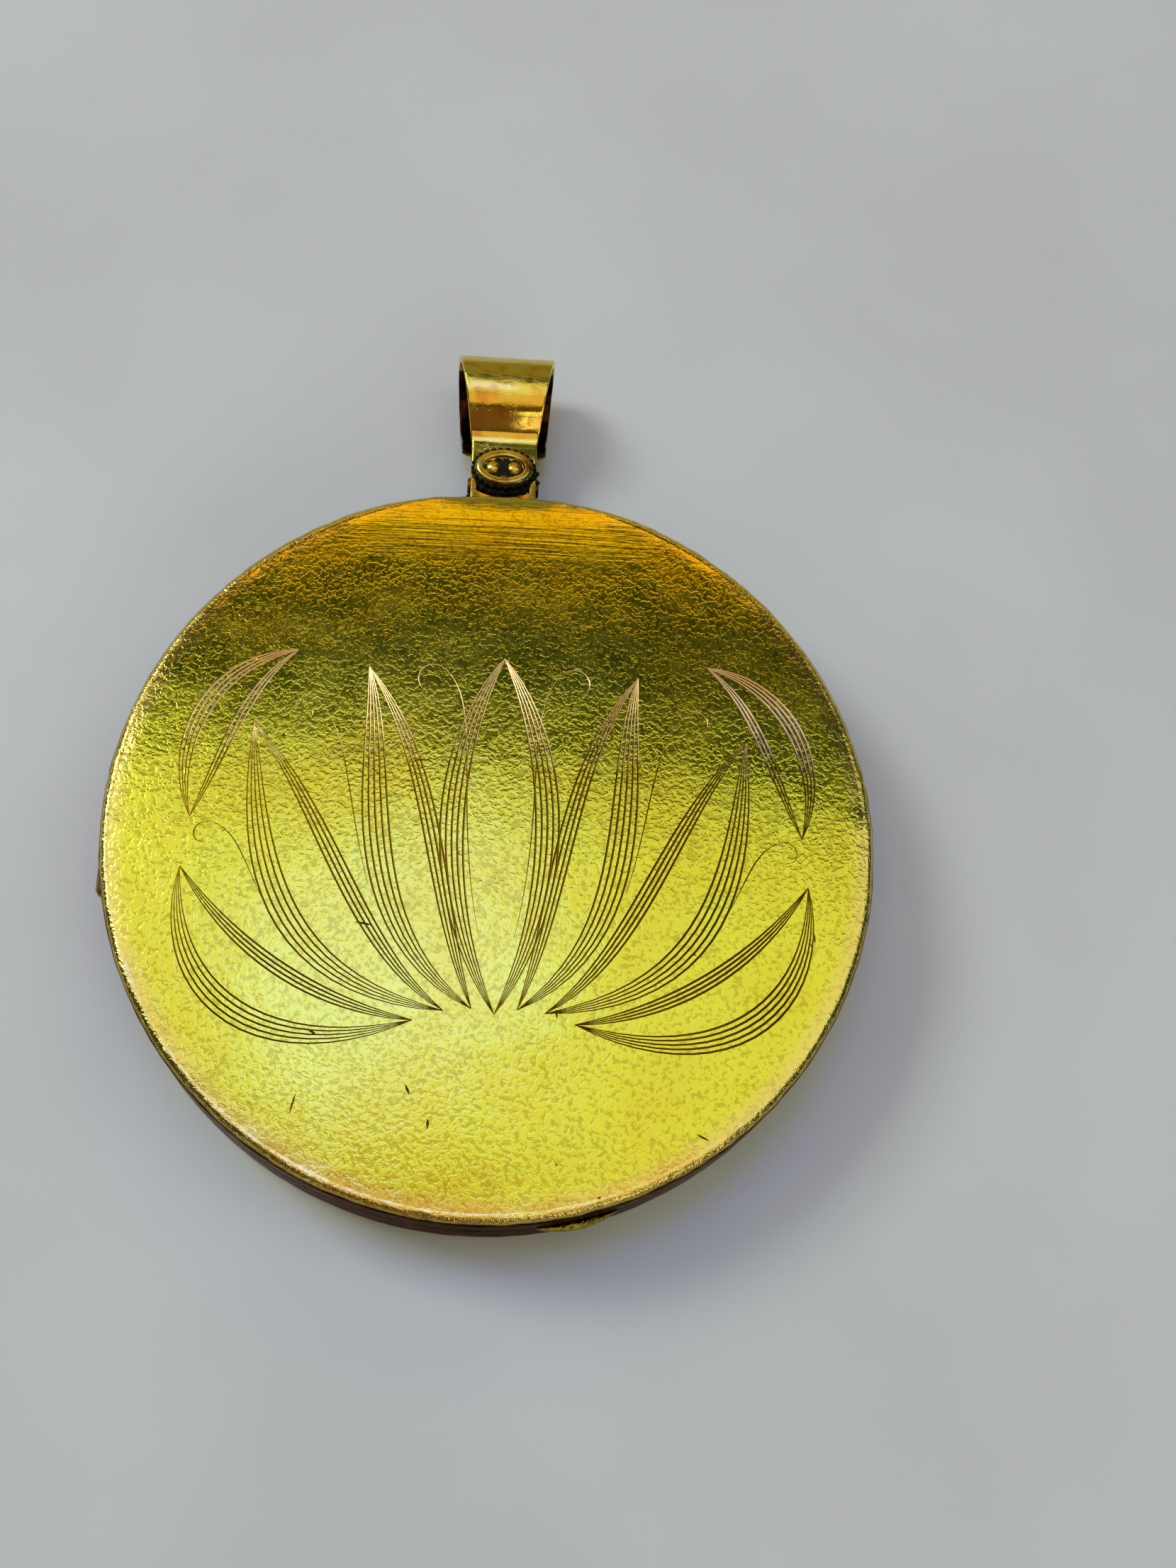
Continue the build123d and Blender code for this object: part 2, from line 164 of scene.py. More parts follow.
@dataclass(frozen=True)
class RolledGold:
    """Rolled gold plate, burnished and then worn for a century.

    Wear gives the skin a low worm-like pebbling, about 0.3 mm from crest to crest, which breaks every
    reflection into flecks; the hollows of the pebbling are painted darker as shade. Close under the bail it
    was filed flat and stroked sideways. Nicks are dark with dried soil, and the tight corner is battered. The
    upright side has tarnished to a red brown and is painted darker still as shade, for the shadow it faces.
    """

    name: str = "rolled_gold_plate_burnished_and_worn"
    gold: str = "DCD640"
    gold_deep: str = "DCCA36"
    # Painted shade: the hollows of the pebbling are mixed towards this darker gold.
    hollow_shade_gold: str = "8C7A14"
    rubbed: str = "EBC480"
    # Tarnish with painted shade: the upright side is mixed towards these browns and its reflections are
    # tinted, darker than tarnish alone.
    tarnish: str = "2E1806"
    tarnish_and_shade_pale: str = "7A4818"
    side_shade_tint: str = "8A5A2A"
    dirt_and_shade: str = "40300A"
    pebble_mm: float = 0.21
    pebble_height_mm: float = 0.0040
    ripple_height_mm: float = 0.045
    batter_mm: float = 0.16
    batter_height_mm: float = 0.05
    stroke_mm: float = 0.16
    nick_cell_mm: float = 2.3
    roughness: float = 0.12
    corner_radius_mm: float = 15.55
    shaded_side_top_mm: float = 5.03
    filed_from_mm: float = 12.4
    warp_scale_mm: float = 1.1
    warp_mm: float = 0.5
    patch_mm: float = 5.5
    stain_mm: float = 1.3
    smear_mm: float = 2.4

    def ease(
        self, tree: bpy.types.NodeTree, value: bpy.types.NodeSocket, low: float, high: float
    ) -> bpy.types.Node:
        """Adds a smooth step from 0 at one place to 1 at another.

        Args:
            tree: the node tree.
            value: the value that is stepped, in metres.
            low: where the step starts, in millimetres.
            high: where it ends.

        Returns:
            The new node.
        """
        ends = {"Value": value, "From Min": low * MM, "From Max": high * MM}
        return add_node(tree, "ShaderNodeMapRange", ends, interpolation_type="SMOOTHSTEP")

    def make(self) -> bpy.types.Material:
        """Builds the material.

        Returns:
            The new material.
        """
        material, tree = new_material(self.name)
        place = add_node(tree, "ShaderNodeTexCoord").outputs["Object"]
        axes = add_node(tree, "ShaderNodeSeparateXYZ", {0: place})
        flat = add_node(tree, "ShaderNodeCombineXYZ", {0: axes.outputs[0], 1: axes.outputs[1]})
        radius = add_node(tree, "ShaderNodeVectorMath", {0: flat.outputs[0]}, operation="LENGTH")
        corner = self.ease(tree, radius.outputs["Value"], self.corner_radius_mm, self.corner_radius_mm + 0.25)
        rim = self.ease(
            tree, radius.outputs["Value"], self.corner_radius_mm - 0.75, self.corner_radius_mm + 0.1
        )
        # Mask of the upright side below the rounded edge, which is tarnished and painted darker as shade.
        lower = self.ease(tree, axes.outputs[2], self.shaded_side_top_mm + 0.12, self.shaded_side_top_mm - 0.12)
        side = add_node(
            tree, "ShaderNodeMath", {0: corner.outputs[0], 1: lower.outputs[0]}, operation="MULTIPLY"
        )
        across = add_node(tree, "ShaderNodeMath", {0: axes.outputs[0]}, operation="ABSOLUTE")
        near_bail = self.ease(tree, across.outputs[0], 9.5, 4.5)
        filed_band = self.ease(tree, axes.outputs[1], self.filed_from_mm - 1.4, self.filed_from_mm + 1.2)
        filed = add_node(
            tree, "ShaderNodeMath", {0: near_bail.outputs[0], 1: filed_band.outputs[0]}, operation="MULTIPLY"
        )

        warp = add_node(
            tree, "ShaderNodeTexNoise", {
                "Vector": place, "Scale": 1 / (self.warp_scale_mm * MM), "Detail": 2.0, "Roughness": 0.5
            }
        )
        bent = add_node(
            tree,
            "ShaderNodeVectorMath",
            {0: warp.outputs["Color"], 1: (self.warp_mm * MM,) * 3, 2: place},
            operation="MULTIPLY_ADD",
        )
        pebbles = add_node(
            tree,
            "ShaderNodeTexNoise",
            {
                "Vector": bent.outputs[0],
                "Scale": 1 / (self.pebble_mm * MM),
                "Detail": 2.0,
                "Roughness": 0.55,
                "Distortion": 0.35,
            },
        )
        patches = add_node(
            tree, "ShaderNodeTexNoise", {
                "Vector": place, "Scale": 1 / (self.patch_mm * MM), "Detail": 3.0, "Roughness": 0.55
            }
        )
        pebble_share = add_node(
            tree, "ShaderNodeMapRange", {"Value": filed.outputs[0], "To Min": 1.0, "To Max": 0.15}
        )
        crests = add_node(
            tree,
            "ShaderNodeMapRange",
            {"Value": pebbles.outputs["Fac"], "From Min": 0.37, "From Max": 0.63},
            interpolation_type="SMOOTHSTEP",
        )
        pebble_relief = add_node(
            tree, "ShaderNodeMath", {0: crests.outputs[0], 1: pebble_share.outputs[0]}, operation="MULTIPLY"
        )
        batter = add_node(
            tree,
            "ShaderNodeTexNoise",
            {"Vector": place, "Scale": 1 / (self.batter_mm * MM), "Detail": 2.5, "Roughness": 0.6},
        )
        batter_relief = add_node(
            tree, "ShaderNodeMath", {0: batter.outputs["Fac"], 1: corner.outputs[0]}, operation="MULTIPLY"
        )
        stroke_place = add_node(
            tree, "ShaderNodeMapping", {"Vector": place, "Scale": (0.035, 1.0, 1.0), "Rotation": (0, 0, 0.03)}
        )
        strokes = add_node(
            tree,
            "ShaderNodeTexNoise",
            {
                "Vector": stroke_place.outputs[0],
                "Scale": 1 / (self.stroke_mm * MM),
                "Detail": 3.0,
                "Roughness": 0.6,
            },
        )
        stroke_relief = add_node(
            tree, "ShaderNodeMath", {0: strokes.outputs["Fac"], 1: filed.outputs[0]}, operation="MULTIPLY"
        )

        nick_scale = 1 / (self.nick_cell_mm * MM)
        pits = add_node(tree, "ShaderNodeTexVoronoi", {"Vector": bent.outputs[0], "Scale": nick_scale})
        pit_mask = set_ramp(
            add_node(tree, "ShaderNodeValToRGB", {0: pits.outputs["Distance"]}),
            [(0.018, grey(0.9)), (0.036, grey(0.0))],
        )
        dash_place = add_node(
            tree, "ShaderNodeMapping", {
                "Vector": bent.outputs[0], "Scale": (1.0, 0.17, 1.0), "Rotation": (0, 0, 0.9)
            }
        )
        dashes = add_node(
            tree, "ShaderNodeTexVoronoi", {"Vector": dash_place.outputs[0], "Scale": nick_scale * 1.4}
        )
        dash_mask = set_ramp(
            add_node(tree, "ShaderNodeValToRGB", {0: dashes.outputs["Distance"]}),
            [(0.014, grey(0.8)), (0.03, grey(0.0))],
        )
        marks = add_node(
            tree, "ShaderNodeMath", {
                0: pit_mask.outputs["Color"], 1: dash_mask.outputs["Color"]
            }, operation="MAXIMUM"
        )

        tone = set_ramp(
            add_node(tree, "ShaderNodeValToRGB", {0: patches.outputs["Fac"]}),
            [(0.35, linear(self.gold_deep)), (0.6, linear(self.gold))],
        )
        # Painted shade: the hollows between the pebbles are darkened.
        pebble_hollow_shade = add_node(
            tree,
            "ShaderNodeMapRange",
            {"Value": crests.outputs[0], "From Min": 0.0, "From Max": 0.30, "To Min": 0.42, "To Max": 0.0},
        )
        hollow_shaded = add_node(
            tree,
            "ShaderNodeMix",
            {"Factor": pebble_hollow_shade.outputs[0], "A": tone.outputs["Color"], "B": linear(self.hollow_shade_gold)},
            data_type="RGBA",
        )
        rub_share = add_node(tree, "ShaderNodeMath", {0: rim.outputs[0], 1: 0.45}, operation="MULTIPLY")
        rubbed = add_node(
            tree,
            "ShaderNodeMix",
            {"Factor": rub_share.outputs[0], "A": hollow_shaded.outputs["Result"], "B": linear(self.rubbed)},
            data_type="RGBA",
        )
        stains = add_node(
            tree, "ShaderNodeTexNoise", {
                "Vector": place, "Scale": 1 / (self.stain_mm * MM), "Detail": 5.0, "Roughness": 0.65
            }
        )
        # Tarnish on the upright side, painted darker as shade.
        tarnish = set_ramp(
            add_node(tree, "ShaderNodeValToRGB", {0: stains.outputs["Fac"]}),
            [(0.42, linear(self.tarnish)), (0.66, linear(self.tarnish_and_shade_pale))],
        )
        side_tarnished_and_shaded = add_node(
            tree,
            "ShaderNodeMix",
            {"Factor": side.outputs[0], "A": rubbed.outputs["Result"], "B": tarnish.outputs["Color"]},
            data_type="RGBA",
        )
        colour = add_node(
            tree,
            "ShaderNodeMix",
            {"Factor": marks.outputs[0], "A": side_tarnished_and_shaded.outputs["Result"], "B": linear(self.dirt_and_shade)},
            data_type="RGBA",
        )

        smear = add_node(
            tree, "ShaderNodeTexNoise", {
                "Vector": place, "Scale": 1 / (self.smear_mm * MM), "Detail": 4.0, "Roughness": 0.6
            }
        )
        gloss = add_node(
            tree,
            "ShaderNodeMapRange",
            {
                "Value": smear.outputs["Fac"],
                "From Min": 0.3,
                "From Max": 0.7,
                "To Min": self.roughness - 0.03,
                "To Max": self.roughness + 0.06,
            },
        )
        # Painted shade: reflections on the upright side are tinted brown and dimmed.
        side_reflection_shade = add_node(
            tree,
            "ShaderNodeMix",
            {"Factor": side.outputs[0], "A": grey(1.0), "B": linear(self.side_shade_tint)},
            data_type="RGBA",
        )
        bump = None
        for height, depth_mm in (
            (patches.outputs["Fac"], self.ripple_height_mm),
            (stroke_relief.outputs[0], 0.012),
            (pebble_relief.outputs[0], self.pebble_height_mm),
            (batter_relief.outputs[0], self.batter_height_mm),
            (marks.outputs[0], -0.015),
        ):
            inputs = {"Strength": 1.0, "Distance": abs(depth_mm) * MM, "Height": height}
            if bump:
                inputs["Normal"] = bump.outputs[0]
            bump = add_node(tree, "ShaderNodeBump", inputs, invert=depth_mm < 0)
        shader = add_node(
            tree,
            "ShaderNodeBsdfPrincipled",
            {
                "Base Color": colour.outputs["Result"],
                "Metallic": 1.0,
                "Roughness": gloss.outputs[0],
                "Specular Tint": side_reflection_shade.outputs["Result"],
                "Normal": bump.outputs[0],
            },
        )
        add_node(tree, "ShaderNodeOutputMaterial", {"Surface": shader.outputs[0]})
        return material


@dataclass(frozen=True)
class BrightCut:
    """Walls of the graver's cuts, painted pale and bright under the bail as a highlight and dark lower down
    as shade.
    """

    name: str = "rolled_gold_cut_walls_painted_light"
    # Painted highlight: the cut walls under the bail are pale bright gold; lower down they are painted dark
    # as shade.
    gold: str = "E4C48A"
    dirt_and_shade: str = "5C4408"
    highlight_above_mm: float = 6.0
    shaded_below_mm: float = 2.6
    roughness: float = 0.36
    clump_mm: float = 0.5
    uneven_mm: float = 4.0

    def make(self) -> bpy.types.Material:
        """Builds the material.

        Returns:
            The new material.
        """
        material, tree = new_material(self.name)
        place = add_node(tree, "ShaderNodeTexCoord").outputs["Object"]
        along = add_node(tree, "ShaderNodeSeparateXYZ", {0: place}).outputs[1]
        clumps = add_node(
            tree, "ShaderNodeTexNoise", {"Vector": place, "Scale": 1 / (self.clump_mm * MM), "Detail": 3.0}
        )
        uneven = add_node(
            tree, "ShaderNodeMath", {
                0: clumps.outputs["Fac"], 1: self.uneven_mm * MM, 2: along
            }, operation="MULTIPLY_ADD"
        )
        # Painted highlight towards the bail, painted shade lower down, with an uneven border between.
        low, high = (self.shaded_below_mm + 2.0) * MM, (self.highlight_above_mm + 2.0) * MM
        cut_highlight_share = add_node(
            tree, "ShaderNodeMapRange", {"Value": uneven.outputs[0], "From Min": low, "From Max": high}
        )
        colour = add_node(
            tree,
            "ShaderNodeMix",
            {"Factor": cut_highlight_share.outputs[0], "A": linear(self.dirt_and_shade), "B": linear(self.gold)},
            data_type="RGBA",
        )
        shader = add_node(
            tree,
            "ShaderNodeBsdfPrincipled",
            {"Base Color": colour.outputs["Result"], "Metallic": 1.0, "Roughness": self.roughness},
        )
        add_node(tree, "ShaderNodeOutputMaterial", {"Surface": shader.outputs[0]})
        return material


@dataclass(frozen=True)
class PolishedStrap:
    """Rolled gold strip, drawn, folded and polished bright by the chain.

    It is redder than the cases and nearly a mirror. Handling has left shallow dents about 0.8 mm across and
    fine rub marks along the strip. The upward face of the back leg, inside the loop, is painted dark as
    shade.
    """

    name: str = "rolled_gold_strip_polished"
    gold: str = "E4C146"
    gold_pale: str = "E2CC50"
    copper: str = "D09A3C"
    roughness: float = 0.09
    dent_mm: float = 0.85
    dent_height_mm: float = 0.016
    fleck_mm: float = 0.075
    fleck_height_mm: float = 0.009
    leg_shade: str = "3A1E08"
    leg_shade_below_mm: float = 1.95
    rub_mm: float = 0.09
    patch_mm: float = 1.1
    rub_height_mm: float = 0.0022

    def make(self) -> bpy.types.Material:
        """Builds the material.

        Returns:
            The new material.
        """
        material, tree = new_material(self.name)
        coordinates = add_node(tree, "ShaderNodeTexCoord")
        place = coordinates.outputs["Object"]
        dents = add_node(
            tree,
            "ShaderNodeTexNoise",
            {"Vector": place, "Scale": 1 / (self.dent_mm * MM), "Detail": 1.5, "Roughness": 0.4},
        )
        rub_place = add_node(tree, "ShaderNodeMapping", {"Vector": place, "Scale": (0.12, 1.0, 1.0)})
        rubs = add_node(
            tree,
            "ShaderNodeTexNoise",
            {"Vector": rub_place.outputs[0], "Scale": 1 / (self.rub_mm * MM),
             "Detail": 3.0, "Roughness": 0.65},
        )
        tone = set_ramp(
            add_node(tree, "ShaderNodeValToRGB", {0: dents.outputs["Fac"]}),
            [(0.3, linear(self.copper)), (0.46, linear(self.gold)), (0.68, linear(self.gold_pale))],
        )
        # Painted shade: the upward face of the back leg, low inside the loop, is mixed towards a dark brown.
        height = add_node(tree, "ShaderNodeSeparateXYZ", {0: place}).outputs[2]
        facing = add_node(tree, "ShaderNodeSeparateXYZ", {0: coordinates.outputs["Normal"]}).outputs[2]
        upward = add_node(tree, "ShaderNodeMapRange", {"Value": facing, "From Min": -0.25, "From Max": 0.15})
        low = add_node(
            tree,
            "ShaderNodeMapRange",
            {
                "Value": height,
                "From Min": (self.leg_shade_below_mm + 0.25) * MM,
                "From Max": self.leg_shade_below_mm * MM,
            },
        )
        inside = add_node(
            tree, "ShaderNodeMath", {0: upward.outputs[0], 1: low.outputs[0]}, operation="MULTIPLY"
        )
        leg_shaded = add_node(
            tree,
            "ShaderNodeMix",
            {"Factor": inside.outputs[0], "A": tone.outputs["Color"], "B": linear(self.leg_shade)},
            data_type="RGBA",
        )
        gloss = add_node(
            tree,
            "ShaderNodeMapRange",
            {
                "Value": rubs.outputs["Fac"],
                "From Min": 0.3,
                "From Max": 0.7,
                "To Min": self.roughness,
                "To Max": self.roughness + 0.12,
            },
        )
        dent_bump = add_node(
            tree,
            "ShaderNodeBump",
            {"Strength": 1.0, "Distance": self.dent_height_mm * MM, "Height": dents.outputs["Fac"]},
        )
        flecks = add_node(
            tree,
            "ShaderNodeTexNoise",
            {"Vector": place, "Scale": 1 / (self.fleck_mm * MM), "Detail": 1.5, "Roughness": 0.5},
        )
        patches = add_node(
            tree, "ShaderNodeTexNoise", {
                "Vector": place, "Scale": 1 / (self.patch_mm * MM), "Detail": 2.0, "Roughness": 0.6
            }
        )
        patch = add_node(
            tree,
            "ShaderNodeMapRange",
            {"Value": patches.outputs["Fac"], "From Min": 0.50, "From Max": 0.60,
             "To Min": 0.2, "To Max": 1.0},
        )
        fleck_relief = add_node(
            tree, "ShaderNodeMath", {0: flecks.outputs["Fac"], 1: patch.outputs[0]}, operation="MULTIPLY"
        )
        fleck_bump = add_node(
            tree,
            "ShaderNodeBump",
            {
                "Strength": 1.0,
                "Distance": self.fleck_height_mm * MM,
                "Height": fleck_relief.outputs[0],
                "Normal": dent_bump.outputs[0],
            },
        )
        rub_bump = add_node(
            tree,
            "ShaderNodeBump",
            {
                "Strength": 1.0,
                "Distance": self.rub_height_mm * MM,
                "Height": rubs.outputs["Fac"],
                "Normal": fleck_bump.outputs[0],
            },
        )
        shader = add_node(
            tree,
            "ShaderNodeBsdfPrincipled",
            {
                "Base Color": leg_shaded.outputs["Result"],
                "Metallic": 1.0,
                "Roughness": gloss.outputs[0],
                "Normal": rub_bump.outputs[0],
            },
        )
        add_node(tree, "ShaderNodeOutputMaterial", {"Surface": shader.outputs[0]})
        return material


@dataclass(frozen=True)
class TurnedGilt:
    """Gilt brass turned on a lathe, so fine rings about 0.1 mm apart run round it."""

    name: str = "gilt_brass_turned"
    gold: str = "D0A63C"
    tarnish: str = "7A5218"
    ring_mm: float = 0.10
    roughness: float = 0.26
    ring_height_mm: float = 0.003
    patch_mm: float = 1.6

    def make(self) -> bpy.types.Material:
        """Builds the material.

        Returns:
            The new material.
        """
        material, tree = new_material(self.name)
        place = add_node(tree, "ShaderNodeTexCoord").outputs["Object"]
        rings = add_node(
            tree,
            "ShaderNodeTexWave",
            {"Vector": place, "Scale": 1 / (self.ring_mm * MM * 20), "Distortion": 0.6, "Detail": 2.0},
            wave_type="RINGS",
            rings_direction="Z",
        )
        patches = add_node(
            tree, "ShaderNodeTexNoise", {
                "Vector": place, "Scale": 1 / (self.patch_mm * MM), "Detail": 5.0, "Roughness": 0.62
            }
        )
        tone = set_ramp(
            add_node(tree, "ShaderNodeValToRGB", {0: patches.outputs["Fac"]}),
            [(0.33, linear(self.tarnish)), (0.52, linear(self.gold))],
        )
        gloss = add_node(
            tree,
            "ShaderNodeMapRange",
            {
                "Value": patches.outputs["Fac"],
                "From Min": 0.3,
                "From Max": 0.7,
                "To Min": self.roughness + 0.14,
                "To Max": self.roughness,
            },
        )
        bump = add_node(
            tree,
            "ShaderNodeBump",
            {"Strength": 1.0, "Distance": self.ring_height_mm * MM, "Height": rings.outputs["Fac"]},
        )
        shader = add_node(
            tree,
            "ShaderNodeBsdfPrincipled",
            {
                "Base Color": tone.outputs["Color"],
                "Metallic": 1.0,
                "Roughness": gloss.outputs[0],
                "Normal": bump.outputs[0],
            },
        )
        add_node(tree, "ShaderNodeOutputMaterial", {"Surface": shader.outputs[0]})
        return material


@dataclass(frozen=True)
class DrawnWire:
    """Brass wire and tube, drawn through a die: dull, streaked along its length, dark in its joints."""

    name: str = "brass_wire_drawn"
    brass: str = "A98238"
    tarnish: str = "4C3310"
    streak_mm: float = 0.06
    roughness: float = 0.34
    stain_mm: float = 0.7
    streak_height_mm: float = 0.002

    def make(self) -> bpy.types.Material:
        """Builds the material.

        Returns:
            The new material.
        """
        material, tree = new_material(self.name)
        place = add_node(tree, "ShaderNodeTexCoord").outputs["Object"]
        streak_place = add_node(tree, "ShaderNodeMapping", {"Vector": place, "Scale": (1.0, 0.1, 1.0)})
        streaks = add_node(
            tree,
            "ShaderNodeTexNoise",
            {"Vector": streak_place.outputs[0], "Scale": 1 / (self.streak_mm * MM), "Detail": 3.0},
        )
        stains = add_node(
            tree, "ShaderNodeTexNoise", {
                "Vector": place, "Scale": 1 / (self.stain_mm * MM), "Detail": 4.0, "Roughness": 0.6
            }
        )
        tone = set_ramp(
            add_node(tree, "ShaderNodeValToRGB", {0: stains.outputs["Fac"]}),
            [(0.38, linear(self.tarnish)), (0.6, linear(self.brass))],
        )
        bump = add_node(
            tree, "ShaderNodeBump", {
                "Strength": 0.8, "Distance": self.streak_height_mm * MM, "Height": streaks.outputs["Fac"]
            }
        )
        shader = add_node(
            tree,
            "ShaderNodeBsdfPrincipled",
            {
                "Base Color": tone.outputs["Color"],
                "Metallic": 1.0,
                "Roughness": self.roughness,
                "Normal": bump.outputs[0],
            },
        )
        add_node(tree, "ShaderNodeOutputMaterial", {"Surface": shader.outputs[0]})
        return material


@dataclass(frozen=True)
class YellowedDisc:
    """Celluloid sheet, punched to a disc: clear, a little yellow with age, with hairline scuffs."""

    name: str = "celluloid_sheet_punched"
    tint: str = "F6EFC8"
    scuff_mm: float = 0.12
    scuff_height_mm: float = 0.001

    def make(self) -> bpy.types.Material:
        """Builds the material.

        Returns:
            The new material.
        """
        material, tree = new_material(self.name)
        place = add_node(tree, "ShaderNodeTexCoord").outputs["Object"]
        scuff_place = add_node(
            tree, "ShaderNodeMapping", {"Vector": place, "Scale": (1.0, 0.04, 1.0), "Rotation": (0, 0, 0.6)}
        )
        scuffs = add_node(
            tree,
            "ShaderNodeTexNoise",
            {"Vector": scuff_place.outputs[0], "Scale": 1 / (self.scuff_mm * MM),
             "Detail": 4.0, "Roughness": 0.7},
        )
        haze = add_node(
            tree,
            "ShaderNodeMapRange",
            {"Value": scuffs.outputs["Fac"], "From Min": 0.55, "From Max": 0.8,
             "To Min": 0.03, "To Max": 0.25},
        )
        bump = add_node(
            tree,
            "ShaderNodeBump",
            {"Strength": 0.5, "Distance": self.scuff_height_mm * MM, "Height": scuffs.outputs["Fac"]},
        )
        shader = add_node(
            tree,
            "ShaderNodeBsdfPrincipled",
            {
                "Base Color": linear(self.tint),
                "Roughness": haze.outputs[0],
                "IOR": 1.50,
                "Specular IOR Level": 1.0,
                "Alpha": 0.16,
                "Normal": bump.outputs[0],
            },
        )
        add_node(tree, "ShaderNodeOutputMaterial", {"Surface": shader.outputs[0]})
        return material


@dataclass(frozen=True)
class PrintCard:
    """Blank albumen print card, coated and aged: warm cream, browner at its edge, with fox marks."""

    name: str = "albumen_card_aged"
    cream: str = "CDB88E"
    brown: str = "8A6A42"
    fox: str = "6E4A26"
    edge_from_mm: float = 8.5
    edge_to_mm: float = 15.0
    cloud_mm: float = 4.0
    wander_mm: float = 5.0
    fox_mm: float = 2.6
    fibre_mm: float = 0.12
    fibre_height_mm: float = 0.006

    def make(self) -> bpy.types.Material:
        """Builds the material.

        Returns:
            The new material.
        """
        material, tree = new_material(self.name)
        place = add_node(tree, "ShaderNodeTexCoord").outputs["Object"]
        axes = add_node(tree, "ShaderNodeSeparateXYZ", {0: place})
        flat = add_node(tree, "ShaderNodeCombineXYZ", {0: axes.outputs[0], 1: axes.outputs[1]})
        radius = add_node(tree, "ShaderNodeVectorMath", {0: flat.outputs[0]}, operation="LENGTH")
        clouds = add_node(
            tree, "ShaderNodeTexNoise", {
                "Vector": place, "Scale": 1 / (self.cloud_mm * MM), "Detail": 5.0, "Roughness": 0.6
            }
        )
        uneven = add_node(
            tree,
            "ShaderNodeMath",
            {0: clouds.outputs["Fac"], 1: self.wander_mm * MM, 2: radius.outputs["Value"]},
            operation="MULTIPLY_ADD",
        )
        browning = add_node(
            tree,
            "ShaderNodeMapRange",
            {
                "Value": uneven.outputs[0],
                "From Min": self.edge_from_mm * MM,
                "From Max": (self.edge_to_mm + 3.0) * MM,
            },
            interpolation_type="SMOOTHSTEP",
        )
        aged = add_node(
            tree,
            "ShaderNodeMix",
            {"Factor": browning.outputs[0], "A": linear(self.cream), "B": linear(self.brown)},
            data_type="RGBA",
        )
        spots = add_node(
            tree, "ShaderNodeTexVoronoi", {
                "Vector": place, "Scale": 1 / (self.fox_mm * MM), "Randomness": 1.0
            }, feature="F1"
        )
        spot_mask = set_ramp(
            add_node(tree, "ShaderNodeValToRGB", {0: spots.outputs["Distance"]}),
            [(0.03, grey(0.8)), (0.14, grey(0.0))],
        )
        colour = add_node(
            tree,
            "ShaderNodeMix",
            {"Factor": spot_mask.outputs["Color"], "A": aged.outputs["Result"], "B": linear(self.fox)},
            data_type="RGBA",
        )
        fibres = add_node(
            tree, "ShaderNodeTexNoise", {
                "Vector": place, "Scale": 1 / (self.fibre_mm * MM), "Detail": 5.0, "Roughness": 0.7
            }
        )
        bump = add_node(
            tree,
            "ShaderNodeBump",
            {"Strength": 0.6, "Distance": self.fibre_height_mm * MM, "Height": fibres.outputs["Fac"]},
        )
        shader = add_node(
            tree,
            "ShaderNodeBsdfPrincipled",
            {"Base Color": colour.outputs["Result"], "Roughness": 0.55,
             "IOR": 1.48, "Normal": bump.outputs[0]},
        )
        add_node(tree, "ShaderNodeOutputMaterial", {"Surface": shader.outputs[0]})
        return material


@dataclass(frozen=True)
class Deposit:
    """Crumbly, dull crust: dried soil or copper salt packed where a cloth can't reach, and the dark one also
    stands in for a shadow.
    """

    name: str
    dark: str
    light: str
    roughness: float = 0.62
    grain_mm: float = 0.11
    gleam: float = 0.16
    grain_height_mm: float = 0.03

    def make(self) -> bpy.types.Material:
        """Builds the material.

        Returns:
            The new material.
        """
        material, tree = new_material(self.name)
        place = add_node(tree, "ShaderNodeTexCoord").outputs["Object"]
        grain = add_node(
            tree,
            "ShaderNodeTexNoise",
            {"Vector": place, "Scale": 1 / (self.grain_mm * MM), "Detail": 4.0, "Roughness": 0.65},
        )
        tone = set_ramp(
            add_node(tree, "ShaderNodeValToRGB", {0: grain.outputs["Fac"]}),
            [(0.4, linear(self.dark)), (0.66, linear(self.light))],
        )
        bump = add_node(
            tree,
            "ShaderNodeBump",
            {"Strength": 1.0, "Distance": self.grain_height_mm * MM, "Height": grain.outputs["Fac"]},
        )
        shader = add_node(
            tree,
            "ShaderNodeBsdfPrincipled",
            {
                "Base Color": tone.outputs["Color"],
                "Roughness": self.roughness,
                "Specular IOR Level": self.gleam,
                "Normal": bump.outputs[0],
            },
        )
        add_node(tree, "ShaderNodeOutputMaterial", {"Surface": shader.outputs[0]})
        return material


